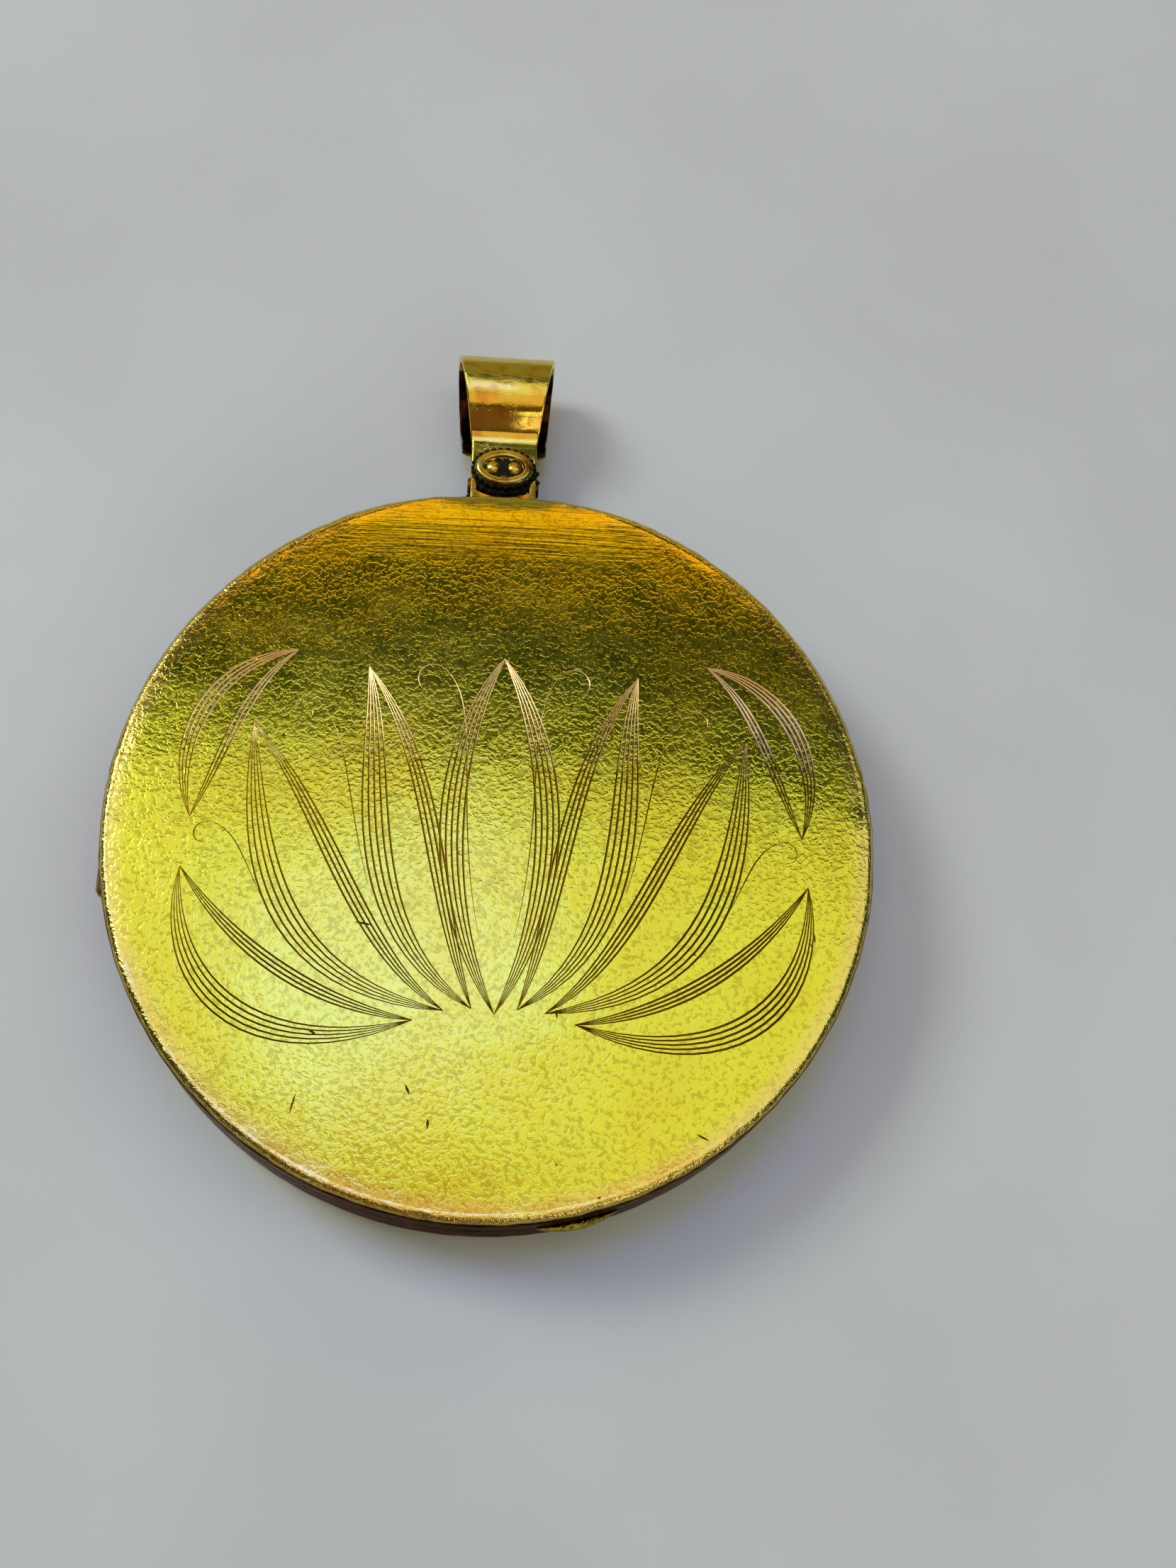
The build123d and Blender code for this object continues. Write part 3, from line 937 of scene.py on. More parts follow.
@dataclass(frozen=True)
class PaleMat:
    """Coated paper board, matt, with a fine tooth about 0.5 mm across."""

    name: str = "coated_board_pale_grey"
    pale: str = "D9E4DC"
    shade: str = "D0DAD3"
    tooth_mm: float = 0.5
    tooth_height_mm: float = 0.03

    def make(self) -> bpy.types.Material:
        """Builds the material.

        Returns:
            The new material.
        """
        material, tree = new_material(self.name)
        place = add_node(tree, "ShaderNodeTexCoord").outputs["Object"]
        clouds = add_node(
            tree, "ShaderNodeTexNoise", {
                "Vector": place, "Scale": 1 / (22 * MM), "Detail": 3.0, "Roughness": 0.5
            }
        )
        tooth = add_node(
            tree,
            "ShaderNodeTexNoise",
            {"Vector": place, "Scale": 1 / (self.tooth_mm * MM), "Detail": 4.0, "Roughness": 0.6},
        )
        tone = set_ramp(
            add_node(tree, "ShaderNodeValToRGB", {0: clouds.outputs["Fac"]}),
            [(0.35, linear(self.shade)), (0.65, linear(self.pale))],
        )
        bump = add_node(
            tree,
            "ShaderNodeBump",
            {"Strength": 0.5, "Distance": self.tooth_height_mm * MM, "Height": tooth.outputs["Fac"]},
        )
        shader = add_node(
            tree,
            "ShaderNodeBsdfPrincipled",
            {"Base Color": tone.outputs["Color"], "Roughness": 0.6, "Normal": bump.outputs[0]},
        )
        add_node(tree, "ShaderNodeOutputMaterial", {"Surface": shader.outputs[0]})
        return material


# ------------------------------------------------------------------------------------------ modelling helpers


def select_only(*pieces: bpy.types.Object) -> None:
    """Selects these objects alone and makes the first one active."""
    bpy.ops.object.select_all(action="DESELECT")
    for piece in pieces:
        piece.select_set(True)
    bpy.context.view_layer.objects.active = pieces[0]


def name_piece(name: str) -> bpy.types.Object:
    """Names the active object and its data.

    Args:
        name: the new name.

    Returns:
        The active object.
    """
    piece = bpy.context.object
    piece.name = piece.data.name = name
    return piece


def settle(piece: bpy.types.Object) -> None:
    """Puts the piece's place, turn and scale into its mesh."""
    select_only(piece)
    bpy.ops.object.transform_apply(location=True, rotation=True, scale=True)


def apply_modifier(piece: bpy.types.Object, kind: str, **settings) -> None:
    """Adds one modifier and applies it.

    Args:
        piece: the mesh object.
        kind: the modifier's type name.
        **settings: the modifier's properties.
    """
    select_only(piece)
    modifier = piece.modifiers.new(kind.lower(), kind)
    for name, value in settings.items():
        setattr(modifier, name, value)
    bpy.ops.object.modifier_apply(modifier=modifier.name)


def smooth(piece: bpy.types.Object, degrees: float = 32.0) -> None:
    """Shades the piece smooth, with creases sharper than an angle kept."""
    select_only(piece)
    bpy.ops.object.shade_smooth_by_angle(angle=math.radians(degrees))


def close_up(piece: bpy.types.Object, distance: float = 1e-6) -> None:
    """Merges doubled vertices and turns every face outwards."""
    select_only(piece)
    bpy.ops.object.mode_set(mode="EDIT")
    bpy.ops.mesh.select_all(action="SELECT")
    bpy.ops.mesh.remove_doubles(threshold=distance)
    bpy.ops.mesh.normals_make_consistent(inside=False)
    bpy.ops.object.mode_set(mode="OBJECT")


def cut_with_each(piece: bpy.types.Object, cutter: bpy.types.Object) -> None:
    """Cuts the piece with every loose bar of the cutter, which may cross one another, and removes them.

    Args:
        piece: the mesh object that is cut.
        cutter: one object of separate closed bars.
    """
    select_only(cutter)
    bpy.ops.object.mode_set(mode="EDIT")
    bpy.ops.mesh.select_all(action="SELECT")
    bpy.ops.mesh.separate(type="LOOSE")
    bpy.ops.object.mode_set(mode="OBJECT")
    bars = list(bpy.context.selected_objects)
    group = bpy.data.collections.new("bars")
    bpy.context.scene.collection.children.link(group)
    for bar in bars:
        group.objects.link(bar)
    apply_modifier(
        piece,
        "BOOLEAN",
        operand_type="COLLECTION",
        collection=group,
        operation="DIFFERENCE",
        solver="MANIFOLD",
    )
    for bar in bars:
        bpy.data.objects.remove(bar)
    bpy.data.collections.remove(group)


def first_vertex(name: str, place: Point3) -> bpy.types.Object:
    """Adds a plane, merges it to one vertex at a place, and stays in edit mode.

    Args:
        name: the new object's name.
        place: where the vertex goes, in metres.

    Returns:
        The new object, in edit mode, with the vertex selected.
    """
    bpy.ops.object.select_all(action="DESELECT")
    bpy.ops.mesh.primitive_plane_add(size=MM, location=place)
    piece = name_piece(name)
    settle(piece)
    bpy.ops.object.mode_set(mode="EDIT")
    bpy.ops.mesh.select_mode(type="VERT")
    bpy.ops.mesh.select_all(action="SELECT")
    bpy.ops.mesh.merge(type="CENTER")
    return piece


def lathe(name: str, profile: list[Point2], steps: int) -> bpy.types.Object:
    """Turns a half section about Z.

    Args:
        name: the new object's name.
        profile: (radius, height) corners of the half section, in millimetres, in order.
        steps: sectors in the full turn.

    Returns:
        The closed piece.
    """
    piece = first_vertex(name, (profile[0][0] * MM, 0.0, profile[0][1] * MM))
    for (radius, height), (next_radius, next_height) in zip(profile, profile[1:]):
        step = ((next_radius - radius) * MM, 0.0, (next_height - height) * MM)
        bpy.ops.mesh.extrude_region_move(TRANSFORM_OT_translate={"value": step})
    bpy.ops.mesh.select_all(action="SELECT")
    bpy.ops.mesh.spin(steps=steps, angle=math.tau, center=(0, 0, 0), axis=(0, 0, 1))
    bpy.ops.object.mode_set(mode="OBJECT")
    close_up(piece)
    return piece


def carry(node: str, name: str, bevel_mm: float = 0.0, degrees: float = 32.0) -> bpy.types.Object:
    """Copies a CAD node's mesh, welds it and rounds its edges.

    Args:
        node: the CAD node.
        name: the new object's name.
        bevel_mm: the width of the rounded edges, or 0 for none.
        degrees: edges sharper than this stay creased.

    Returns:
        The new piece.
    """
    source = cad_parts[node]
    piece = bpy.data.objects.new(name, source.data.copy())
    piece.data.name = name
    piece.data.materials.clear()
    bpy.context.scene.collection.objects.link(piece)
    close_up(piece)
    if bevel_mm:
        apply_modifier(
            piece,
            "BEVEL",
            width=bevel_mm * MM,
            segments=3,
            limit_method="ANGLE",
            angle_limit=math.radians(degrees),
            use_clamp_overlap=True,
        )
    smooth(piece, degrees)
    return piece


def install(
    piece: bpy.types.Object, material: bpy.types.Material | None, body: Body, slot: Slot, *nodes: str
) -> None:
    """Dresses a finished piece and fixes it to its body.

    Args:
        piece: the piece, in place.
        material: its material, or None where it already has its own.
        body: the body that it rides on.
        slot: the material slot; not used.
        *nodes: the CAD nodes that it stands for.
    """
    if material is not None:
        piece.data.materials.clear()
        piece.data.materials.append(material)
    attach(piece, body.value)
    if nodes:
        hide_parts(*nodes)
    LOG.info("%s: %d faces on %s", piece.name, len(piece.data.polygons), body.value)


def arc(centre: Point2, radius: float, start: float, end: float, count: int) -> list[Point2]:
    """Points on an arc.

    Args:
        centre: the arc's centre.
        radius: its radius.
        start: first angle in degrees.
        end: last angle in degrees.
        count: how many points.

    Returns:
        The points, both ends among them.
    """
    angles = [math.radians(start + (end - start) * i / (count - 1)) for i in range(count)]
    return [(centre[0] + radius * math.cos(a), centre[1] + radius * math.sin(a)) for a in angles]


# ------------------------------------------------------------------------------------------ engraving


@dataclass(frozen=True)
class Stroke:
    """One swelling stroke of the graver: several cuts that start and end together.

    The four points steer a Bezier curve, in millimetres on the cover's face.
    """

    points: tuple[Point2, Point2, Point2, Point2]
    cuts: int = 1
    spread_mm: float = 0.0
    half_width_mm: float = 0.058

    def mirrored(self) -> "Stroke":
        """The same stroke on the other side of the middle line."""
        flipped = tuple((-x, y) for x, y in self.points)
        return Stroke(flipped, self.cuts, self.spread_mm, self.half_width_mm)

    def at(self, t: float) -> Vector:
        """Point on the middle of the stroke, from 0 at its start to 1 at its end."""
        a, b, c, d = (Vector(p) for p in self.points)
        u = 1 - t
        return a * u**3 + b * (3 * u * u * t) + c * (3 * u * t * t) + d * t**3

    def normal(self, t: float) -> Vector:
        """Unit vector across the stroke."""
        step = 0.01
        along = (self.at(min(1.0, t + step)) - self.at(max(0.0, t - step))).normalized()
        return Vector((-along.y, along.x))


@dataclass
class Engraving:
    """Bright-cut palmette on the front cover: nine leaves, tendrils and two sprigs, with no lettering.

    Each leaf is two crescents of parallel cuts that share its foot and its tip. The graver was rolled over a
    little towards the foot, so each cut has one broad and one steep wall there.
    """

    middle_x: float = 0.25
    middle_y: float = -0.25
    samples: int = 22
    bow: float = 0.8
    end_share: float = 0.30
    groove_depth: float = 0.42
    roll_deg: float = 8.0
    roll_from_mm: float = 7.0
    roll_over_mm: float = 2.5
    nick_count: int = 7
    half: tuple[Stroke, ...] = (
        Stroke(((0.0, -7.7), (2.9, -2.6), (2.3, 3.8), (0.0, 7.7)), 5, 0.95),
        Stroke(((0.9, -7.5), (2.7, -3.0), (2.5, 2.6), (5.7, 7.1)), 4, 0.62),
        Stroke(((0.9, -7.5), (6.3, -4.2), (4.7, 2.6), (5.7, 7.1)), 5, 1.05),
        Stroke(((2.0, -7.6), (5.7, -5.2), (6.9, 0.4), (10.3, 4.4)), 4, 0.62),
        Stroke(((2.0, -7.6), (9.5, -6.6), (9.9, -0.8), (10.3, 4.4)), 5, 1.05),
        Stroke(((3.2, -8.0), (7.0, -7.5), (10.4, -5.4), (12.8, -1.9)), 4, 0.55),
        Stroke(((3.2, -8.0), (9.3, -10.1), (13.2, -7.0), (12.8, -1.9)), 5, 0.95),
        Stroke(((12.6, 0.2), (13.9, 3.8), (12.0, 7.3), (8.7, 7.8)), 4, 0.62),
        Stroke(((12.6, 0.2), (11.4, 3.0), (10.9, 6.0), (8.7, 7.8)), 3, 0.36),
        Stroke(((0.7, -4.6), (1.9, 0.6), (0.9, 5.2), (2.3, 6.9)), 1, 0.0, 0.036),
        Stroke(((2.3, 6.9), (3.2, 8.0), (4.2, 6.6), (3.2, 6.0)), 1, 0.0, 0.032),
        Stroke(((5.2, -2.6), (6.2, 0.6), (6.3, 3.6), (7.4, 5.1)), 1, 0.0, 0.036),
        Stroke(((7.4, 5.1), (8.4, 6.4), (9.2, 5.0), (8.2, 4.5)), 1, 0.0, 0.032),
        Stroke(((9.3, -3.4), (10.4, -1.4), (10.6, -0.4), (11.7, 0.0)), 1, 0.0, 0.034),
        Stroke(((11.7, 0.0), (12.5, 0.1), (12.6, -0.9), (11.9, -0.9)), 1, 0.0, 0.030),
    )

    def strokes(self) -> list[Stroke]:
        """Both halves of the design."""
        return [*self.half, *(s.mirrored() for s in self.half)]

    def nicks(self) -> list[Stroke]:
        """Short stray nicks and pits that wear has left.

        Returns:
            One short stroke for each nick.
        """
        rng = random.Random(7)
        found = []
        for _ in range(self.nick_count):
            x, y, turn = rng.uniform(-9, 9), rng.uniform(-13, 1), rng.uniform(0, math.pi)
            length = rng.uniform(0.35, 0.9)
            dx, dy = length * math.cos(turn) / 3, length * math.sin(turn) / 3
            points = tuple((x + i * dx, y + i * dy) for i in range(4))
            found.append(Stroke(points, 1, 0.0, rng.uniform(0.05, 0.09)))
        return found

    def cutter(self, crown: Callable[[float, float], float]) -> bpy.types.Object:
        """Builds one object of separate tapering bars with a diamond section, half sunk in the face.

        Args:
            crown: the face's height in millimetres at a place on it.

        Returns:
            The cutter, as a mesh.
        """
        bpy.ops.object.select_all(action="DESELECT")
        bpy.ops.curve.primitive_nurbs_path_add(radius=MM)
        cutter = name_piece("engraving_cutter")
        cutter.data.splines.clear()
        section = self.section()
        cutter.data.bevel_mode = "OBJECT"
        cutter.data.bevel_object = section
        cutter.data.twist_mode = "Z_UP"
        cutter.data.resolution_u = 1
        for stroke in [*self.strokes(), *self.nicks()]:
            for number in range(stroke.cuts):
                self.add_cut(cutter.data, stroke, number, crown)
        select_only(cutter)
        bpy.ops.object.convert(target="MESH")
        bpy.data.objects.remove(section)
        settle(cutter)
        bpy.ops.object.mode_set(mode="EDIT")
        bpy.ops.mesh.select_all(action="SELECT")
        bpy.ops.mesh.fill_holes(sides=4)
        bpy.ops.mesh.normals_make_consistent(inside=False)
        bpy.ops.object.mode_set(mode="OBJECT")
        return cutter

    def section(self) -> bpy.types.Object:
        """Draws the diamond that the graver leaves the lower half of, one unit to each side."""
        bpy.ops.object.select_all(action="DESELECT")
        bpy.ops.curve.primitive_nurbs_path_add(radius=MM)
        diamond = name_piece("graver_section")
        diamond.data.splines.clear()
        diamond.data.dimensions = "2D"
        spline = diamond.data.splines.new("POLY")
        spline.points.add(3)
        corners = ((1.0, 0.0), (0.0, self.groove_depth), (-1.0, 0.0), (0.0, -self.groove_depth))
        for point, (across, up) in zip(spline.points, corners):
            point.co = (across * MM, up * MM, 0.0, 1.0)
        spline.use_cyclic_u = True
        return diamond

    def add_cut(
        self, curve: bpy.types.Curve, stroke: Stroke, number: int, crown: Callable[[float, float], float]
    ) -> None:
        """Adds one tapering cut to the cutter.

        Args:
            curve: the curve that takes the cut.
            stroke: the stroke that the cut belongs to.
            number: which of its cuts.
            crown: the face's height in millimetres at a place on it.
        """
        side = number / (stroke.cuts - 1) - 0.5 if stroke.cuts > 1 else 0.0
        spline = curve.splines.new("POLY")
        spline.points.add(self.samples - 1)
        for index, point in enumerate(spline.points):
            t = index / (self.samples - 1)
            swell = math.sin(math.pi * t)
            place = stroke.at(t) + stroke.normal(t) * (side * stroke.spread_mm * swell**self.bow)
            x, y = place.x + self.middle_x, place.y + self.middle_y
            point.co = (x * MM, y * MM, crown(x, y) * MM, 1.0)
            point.radius = stroke.half_width_mm * (self.end_share + (1 - self.end_share) * swell)
            point.tilt = math.radians(
                self.roll_deg * min(1.0, max(0.0, (self.roll_from_mm - y) / self.roll_over_mm))
            )


# ------------------------------------------------------------------------------------------ case


@dataclass
class FrontCover:
    """Low domed front cover with a tight edge, dented rim and engraved face. Sizes in millimetres."""

    radius: float = 16.0
    crown_z: float = 6.0
    rise: float = 0.80
    corner: float = 0.42
    lip_z: float = 3.35
    sheet: float = 0.30
    sectors: int = 288
    rings: int = 30
    dent_mm: float = 0.10
    filed_mm: float = 0.15
    filed_reach: float = 5.5
    hinge_reach: float = 0.52
    own_reach: float = 0.42
    engraving: Engraving = field(default_factory=Engraving)

    @property
    def dome_radius(self) -> float:
        """Radius of the sphere that the dome is part of."""
        return (self.radius**2 + self.rise**2) / (2 * self.rise)

    def crown(self, x: float, y: float) -> float:
        """Height of the outer face at a place on it."""
        return self.crown_z - self.dome_radius + math.sqrt(self.dome_radius**2 - x * x - y * y)

    def skin(self, radius: float, drop: float, corner: float) -> list[Point2]:
        """One side of the half section, from the axis out to the wall and down to the lip.

        Args:
            radius: the wall's radius.
            drop: how far this side lies under the outer face.
            corner: radius of the rounded corner.

        Returns:
            The points, from the axis to the lip.
        """
        inside = radius - corner
        dome = [(
            inside * i / self.rings, self.crown(inside * i / self.rings, 0) - drop
        ) for i in range(self.rings)]
        centre = (inside, self.crown(inside, 0) - drop - corner)
        bend = arc(centre, corner, 86, 0, 9)
        wall = [(radius, centre[1] + (self.lip_z - centre[1]) * i / 6) for i in range(1, 6)]
        return [*dome, *bend, *wall]

    def build(self, gold: bpy.types.Material, cut_highlight_and_shade: bpy.types.Material) -> bpy.types.Object:
        """Turns, dents, engraves and cuts the hinge seats.

        Args:
            gold: the worn skin.
            cut_highlight_and_shade: the walls of the engraved cuts, with painted highlight and shade.

        Returns:
            The finished cover.
        """
        ease = 0.05
        outer = self.skin(self.radius, 0.0, self.corner)
        inner = self.skin(self.radius - self.sheet, self.sheet, self.corner - self.sheet)
        lip = [
            (self.radius, self.lip_z + ease),
            (self.radius - ease, self.lip_z),
            (self.radius - self.sheet + ease, self.lip_z),
            (self.radius - self.sheet, self.lip_z + ease),
        ]
        cover = lathe("front_cover_engraved", [*outer, *lip, *reversed(inner)], self.sectors)
        self.dent(cover)
        cover.data.materials.append(gold)
        cover.data.materials.append(cut_highlight_and_shade)
        cutter = self.engraving.cutter(self.crown)
        cutter.data.materials.append(gold)
        cutter.data.materials.append(cut_highlight_and_shade)
        # The cut walls take the material with painted highlight and shade.
        for face in cutter.data.polygons:
            face.material_index = 1
        cut_with_each(cover, cutter)
        seat_hinge(cover, 1, self.own_reach, self.hinge_reach)
        smooth(cover, 13)
        return cover

    def dent(self, cover: bpy.types.Object) -> None:
        """Leaves the rounded edge a little battered, and filed down under the bail."""
        dent_edge(cover, self.radius - 0.55, self.crown_z - 1.9, self.crown_z, self.dent_mm)
        group = cover.vertex_groups.new(name="filed_edge")
        inner = self.radius - 1.3
        for vertex in cover.data.vertices:
            x, y, z = (c / MM for c in vertex.co)
            on_skin = z > self.crown(x, y) - 0.12 or math.hypot(x, y) > self.radius - 0.18
            share = (y - inner) / (self.radius - inner) * (1 - (x / self.filed_reach) ** 2)
            if on_skin and share > 0 and z > self.lip_z + 1.0 and abs(x) < self.filed_reach:
                group.add([vertex.index], min(1.0, share), "REPLACE")
        for direction in ("Y", "Z"):
            apply_modifier(
                cover,
                "DISPLACE",
                direction=direction,
                strength=-self.filed_mm * MM,
                mid_level=0.0,
                vertex_group=group.name,
            )
        cover.vertex_groups.clear()

    def dress(self, gold: bpy.types.Material, cut_highlight_and_shade: bpy.types.Material) -> None:
        """Builds the cover and puts it in the CAD node's place."""
        install(self.build(gold, cut_highlight_and_shade), None, Body.FRONT, Slot.ROLLED_GOLD, "front_cover")


def dent_edge(piece: bpy.types.Object, radius: float, low: float, high: float, depth: float) -> None:
    """Pushes vertices near a rim in and out by a few hundredths, with a cloud pattern.

    Args:
        piece: the cover.
        radius: dents start outside this radius, in millimetres.
        low: lowest height of the dented band.
        high: highest height of the dented band.
        depth: the full swing of the dents.
    """
    group = piece.vertex_groups.new(name="battered_edge")
    for vertex in piece.data.vertices:
        out = math.hypot(vertex.co.x, vertex.co.y) / MM
        height = vertex.co.z / MM
        if out > radius and low < height < high:
            group.add([vertex.index], min(1.0, (out - radius) / 0.4), "REPLACE")
    clouds = bpy.data.textures.new("edge_dents", "CLOUDS")
    clouds.noise_scale = 0.75 * MM
    clouds.noise_depth = 2
    apply_modifier(
        piece,
        "DISPLACE",
        texture=clouds,
        texture_coords="LOCAL",
        strength=depth * MM,
        mid_level=0.5,
        vertex_group=group.name,
    )
    piece.vertex_groups.clear()


def seat_hinge(piece: bpy.types.Object, parity: int, own: float, other: float) -> None:
    """Cuts the seats of the hinge knuckles in a cover's wall.

    Args:
        piece: the cover.
        parity: 0 where the outer knuckles are the cover's own, 1 where they aren't.
        own: radius of the seat of the cover's own knuckles, in millimetres.
        other: radius of the room for the other cover's knuckles.
    """
    boxes = [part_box(f"{'front' if i % 2 else 'back'}_knuckle_{i + 1}") for i in range(5)]
    spare = 0.06
    profile = [(0.0, boxes[0][0].y / MM - spare)]
    for index, (low, high) in enumerate(boxes):
        mine = index % 2 == parity
        play = 0.0 if mine else spare
        start = profile[0][1] if index == 0 else low.y / MM - play
        end = high.y / MM + (spare if index == len(boxes) - 1 else play)
        if index and mine:
            start = profile[-1][1]
        radius = own if mine else other
        profile += [(radius, start), (radius, end)]
    profile.append((0.0, profile[-1][1]))
    cutter = lathe("hinge_seat_cutter", profile, 48)
    middle = (boxes[0][0] + boxes[0][1]) / 2
    cutter.rotation_euler = (-math.pi / 2, 0, 0)
    cutter.location = (middle.x, 0, middle.z)
    settle(cutter)
    apply_modifier(piece, "BOOLEAN", object=cutter, operation="DIFFERENCE", solver="EXACT")
    bpy.data.objects.remove(cutter)


@dataclass
class BackCover:
    """Back cover with a flat to lie on, a rounded foot and the thumbnail lip. Millimetres."""

    radius: float = 16.0
    lip_z: float = 3.25
    flat_radius: float = 12.0
    rise: float = 0.25
    corner: float = 1.30
    sheet: float = 0.30
    sectors: int = 288
    dent_mm: float = 0.05
    own_reach: float = 0.42
    hinge_reach: float = 0.52

    def skin(self, radius: float, lift: float, corner: float) -> list[Point2]:
        """One side of the half section, from the axis out along the floor and up to the lip.

        Args:
            radius: the wall's radius.
            lift: how far this side lies over the outer face.
            corner: radius of the rounded foot.

        Returns:
            The points, from the axis to the lip.
        """
        span = self.radius - self.flat_radius
        sweep = (span**2 + self.rise**2) / (2 * self.rise)

        def floor(r: float) -> float:
            """Height of the outer face at a radius."""
            return 0.0 if r < self.flat_radius else sweep - math.sqrt(sweep**2 - (r - self.flat_radius) ** 2)

        inside = radius - corner
        flat = [(self.flat_radius * i / 12, lift) for i in range(12)]
        soft = [(self.flat_radius + (inside - self.flat_radius) * i / 8, 0.0) for i in range(8)]
        soft = [(r, floor(r) + lift) for r, _ in soft]
        centre = (inside, floor(inside) + lift + corner)
        bend = arc(centre, corner, -82, 0, 12)
        wall = [(radius, centre[1] + (self.lip_z - centre[1]) * i / 5) for i in range(1, 5)]
        return [*flat, *soft, *bend, *wall]

    def build(self) -> bpy.types.Object:
        """Turns the cover and cuts the hinge seats.

        Returns:
            The finished cover.
        """
        ease = 0.05
        outer = self.skin(self.radius, 0.0, self.corner)
        inner = self.skin(self.radius - self.sheet, self.sheet, self.corner - self.sheet)
        lip = [
            (self.radius, self.lip_z - ease),
            (self.radius - ease, self.lip_z),
            (self.radius - self.sheet + ease, self.lip_z),
            (self.radius - self.sheet, self.lip_z - ease),
        ]
        cover = lathe("back_cover_worn", [*outer, *lip, *reversed(inner)], self.sectors)
        dent_edge(cover, self.radius - 0.4, 1.2, self.lip_z - 0.1, self.dent_mm)
        seat_hinge(cover, 0, self.own_reach, self.hinge_reach)
        smooth(cover, 24)
        return cover

    def dress(self, gold: bpy.types.Material, lip_gold: bpy.types.Material) -> None:
        """Builds the cover and the thumbnail lip and puts them in place."""
        install(self.build(), gold, Body.BACK, Slot.ROLLED_GOLD, "back_cover")
        install(
            carry("thumb_lip", "thumb_lip_rounded", 0.06), lip_gold, Body.BACK, Slot.ROLLED_GOLD, "thumb_lip"
        )


@dataclass
class PictureFrames:
    """What both covers hold: frame, card, window and bezel."""

    def dress(
        self,
        gilt: bpy.types.Material,
        bezel: bpy.types.Material,
        window: bpy.types.Material,
        card: bpy.types.Material,
    ) -> None:
        """Welds and rounds the turned rings, and dresses cards and windows.

        Args:
            gilt: for the frames and the snap bead.
            bezel: for the bezels.
            window: for the clear discs.
            card: for the print cards.
        """
        for body in (Body.BACK, Body.FRONT):
            side = body.value
            ring = carry(f"{side}_frame", f"{side}_frame_turned", 0.05)
            install(ring, gilt, body, Slot.GILT_BRASS, f"{side}_frame")
            install(
                carry(f"{side}_bezel", f"{side}_bezel_turned"), bezel, body, Slot.GILT_BEZEL, f"{side}_bezel"
            )
            disc = carry(f"{side}_window", f"{side}_window_disc", 0.03)
            install(disc, window, body, Slot.WINDOW, f"{side}_window")
            install(carry(f"{side}_photo", f"{side}_photo_card"), card, body, Slot.PHOTO, f"{side}_photo")
        install(carry("catch_nib", "catch_nib_filed", 0.02), gilt, Body.BACK, Slot.GILT_BRASS, "catch_nib")


@dataclass
class CaseHinge:
    """Five knuckles of drawn tube and the pin through them."""

    knuckles: int = 5
    bevel_mm: float = 0.05

    def dress(self, tube: bpy.types.Material, wire: bpy.types.Material) -> None:
        """Rounds the knuckles' ends and dresses the pin.

        Args:
            tube: for the knuckles.
            wire: for the pin.
        """
        for number in range(1, self.knuckles + 1):
            body = Body.BACK if number % 2 else Body.FRONT
            node = f"{body.value}_knuckle_{number}"
            install(carry(node, f"{node}_tube", self.bevel_mm), tube, body, Slot.GILT_BRASS, node)
        install(carry("hinge_pin", "hinge_pin_upset"), wire, Body.BACK, Slot.HINGE_WIRE, "hinge_pin")


# ------------------------------------------------------------------------------------------ bail


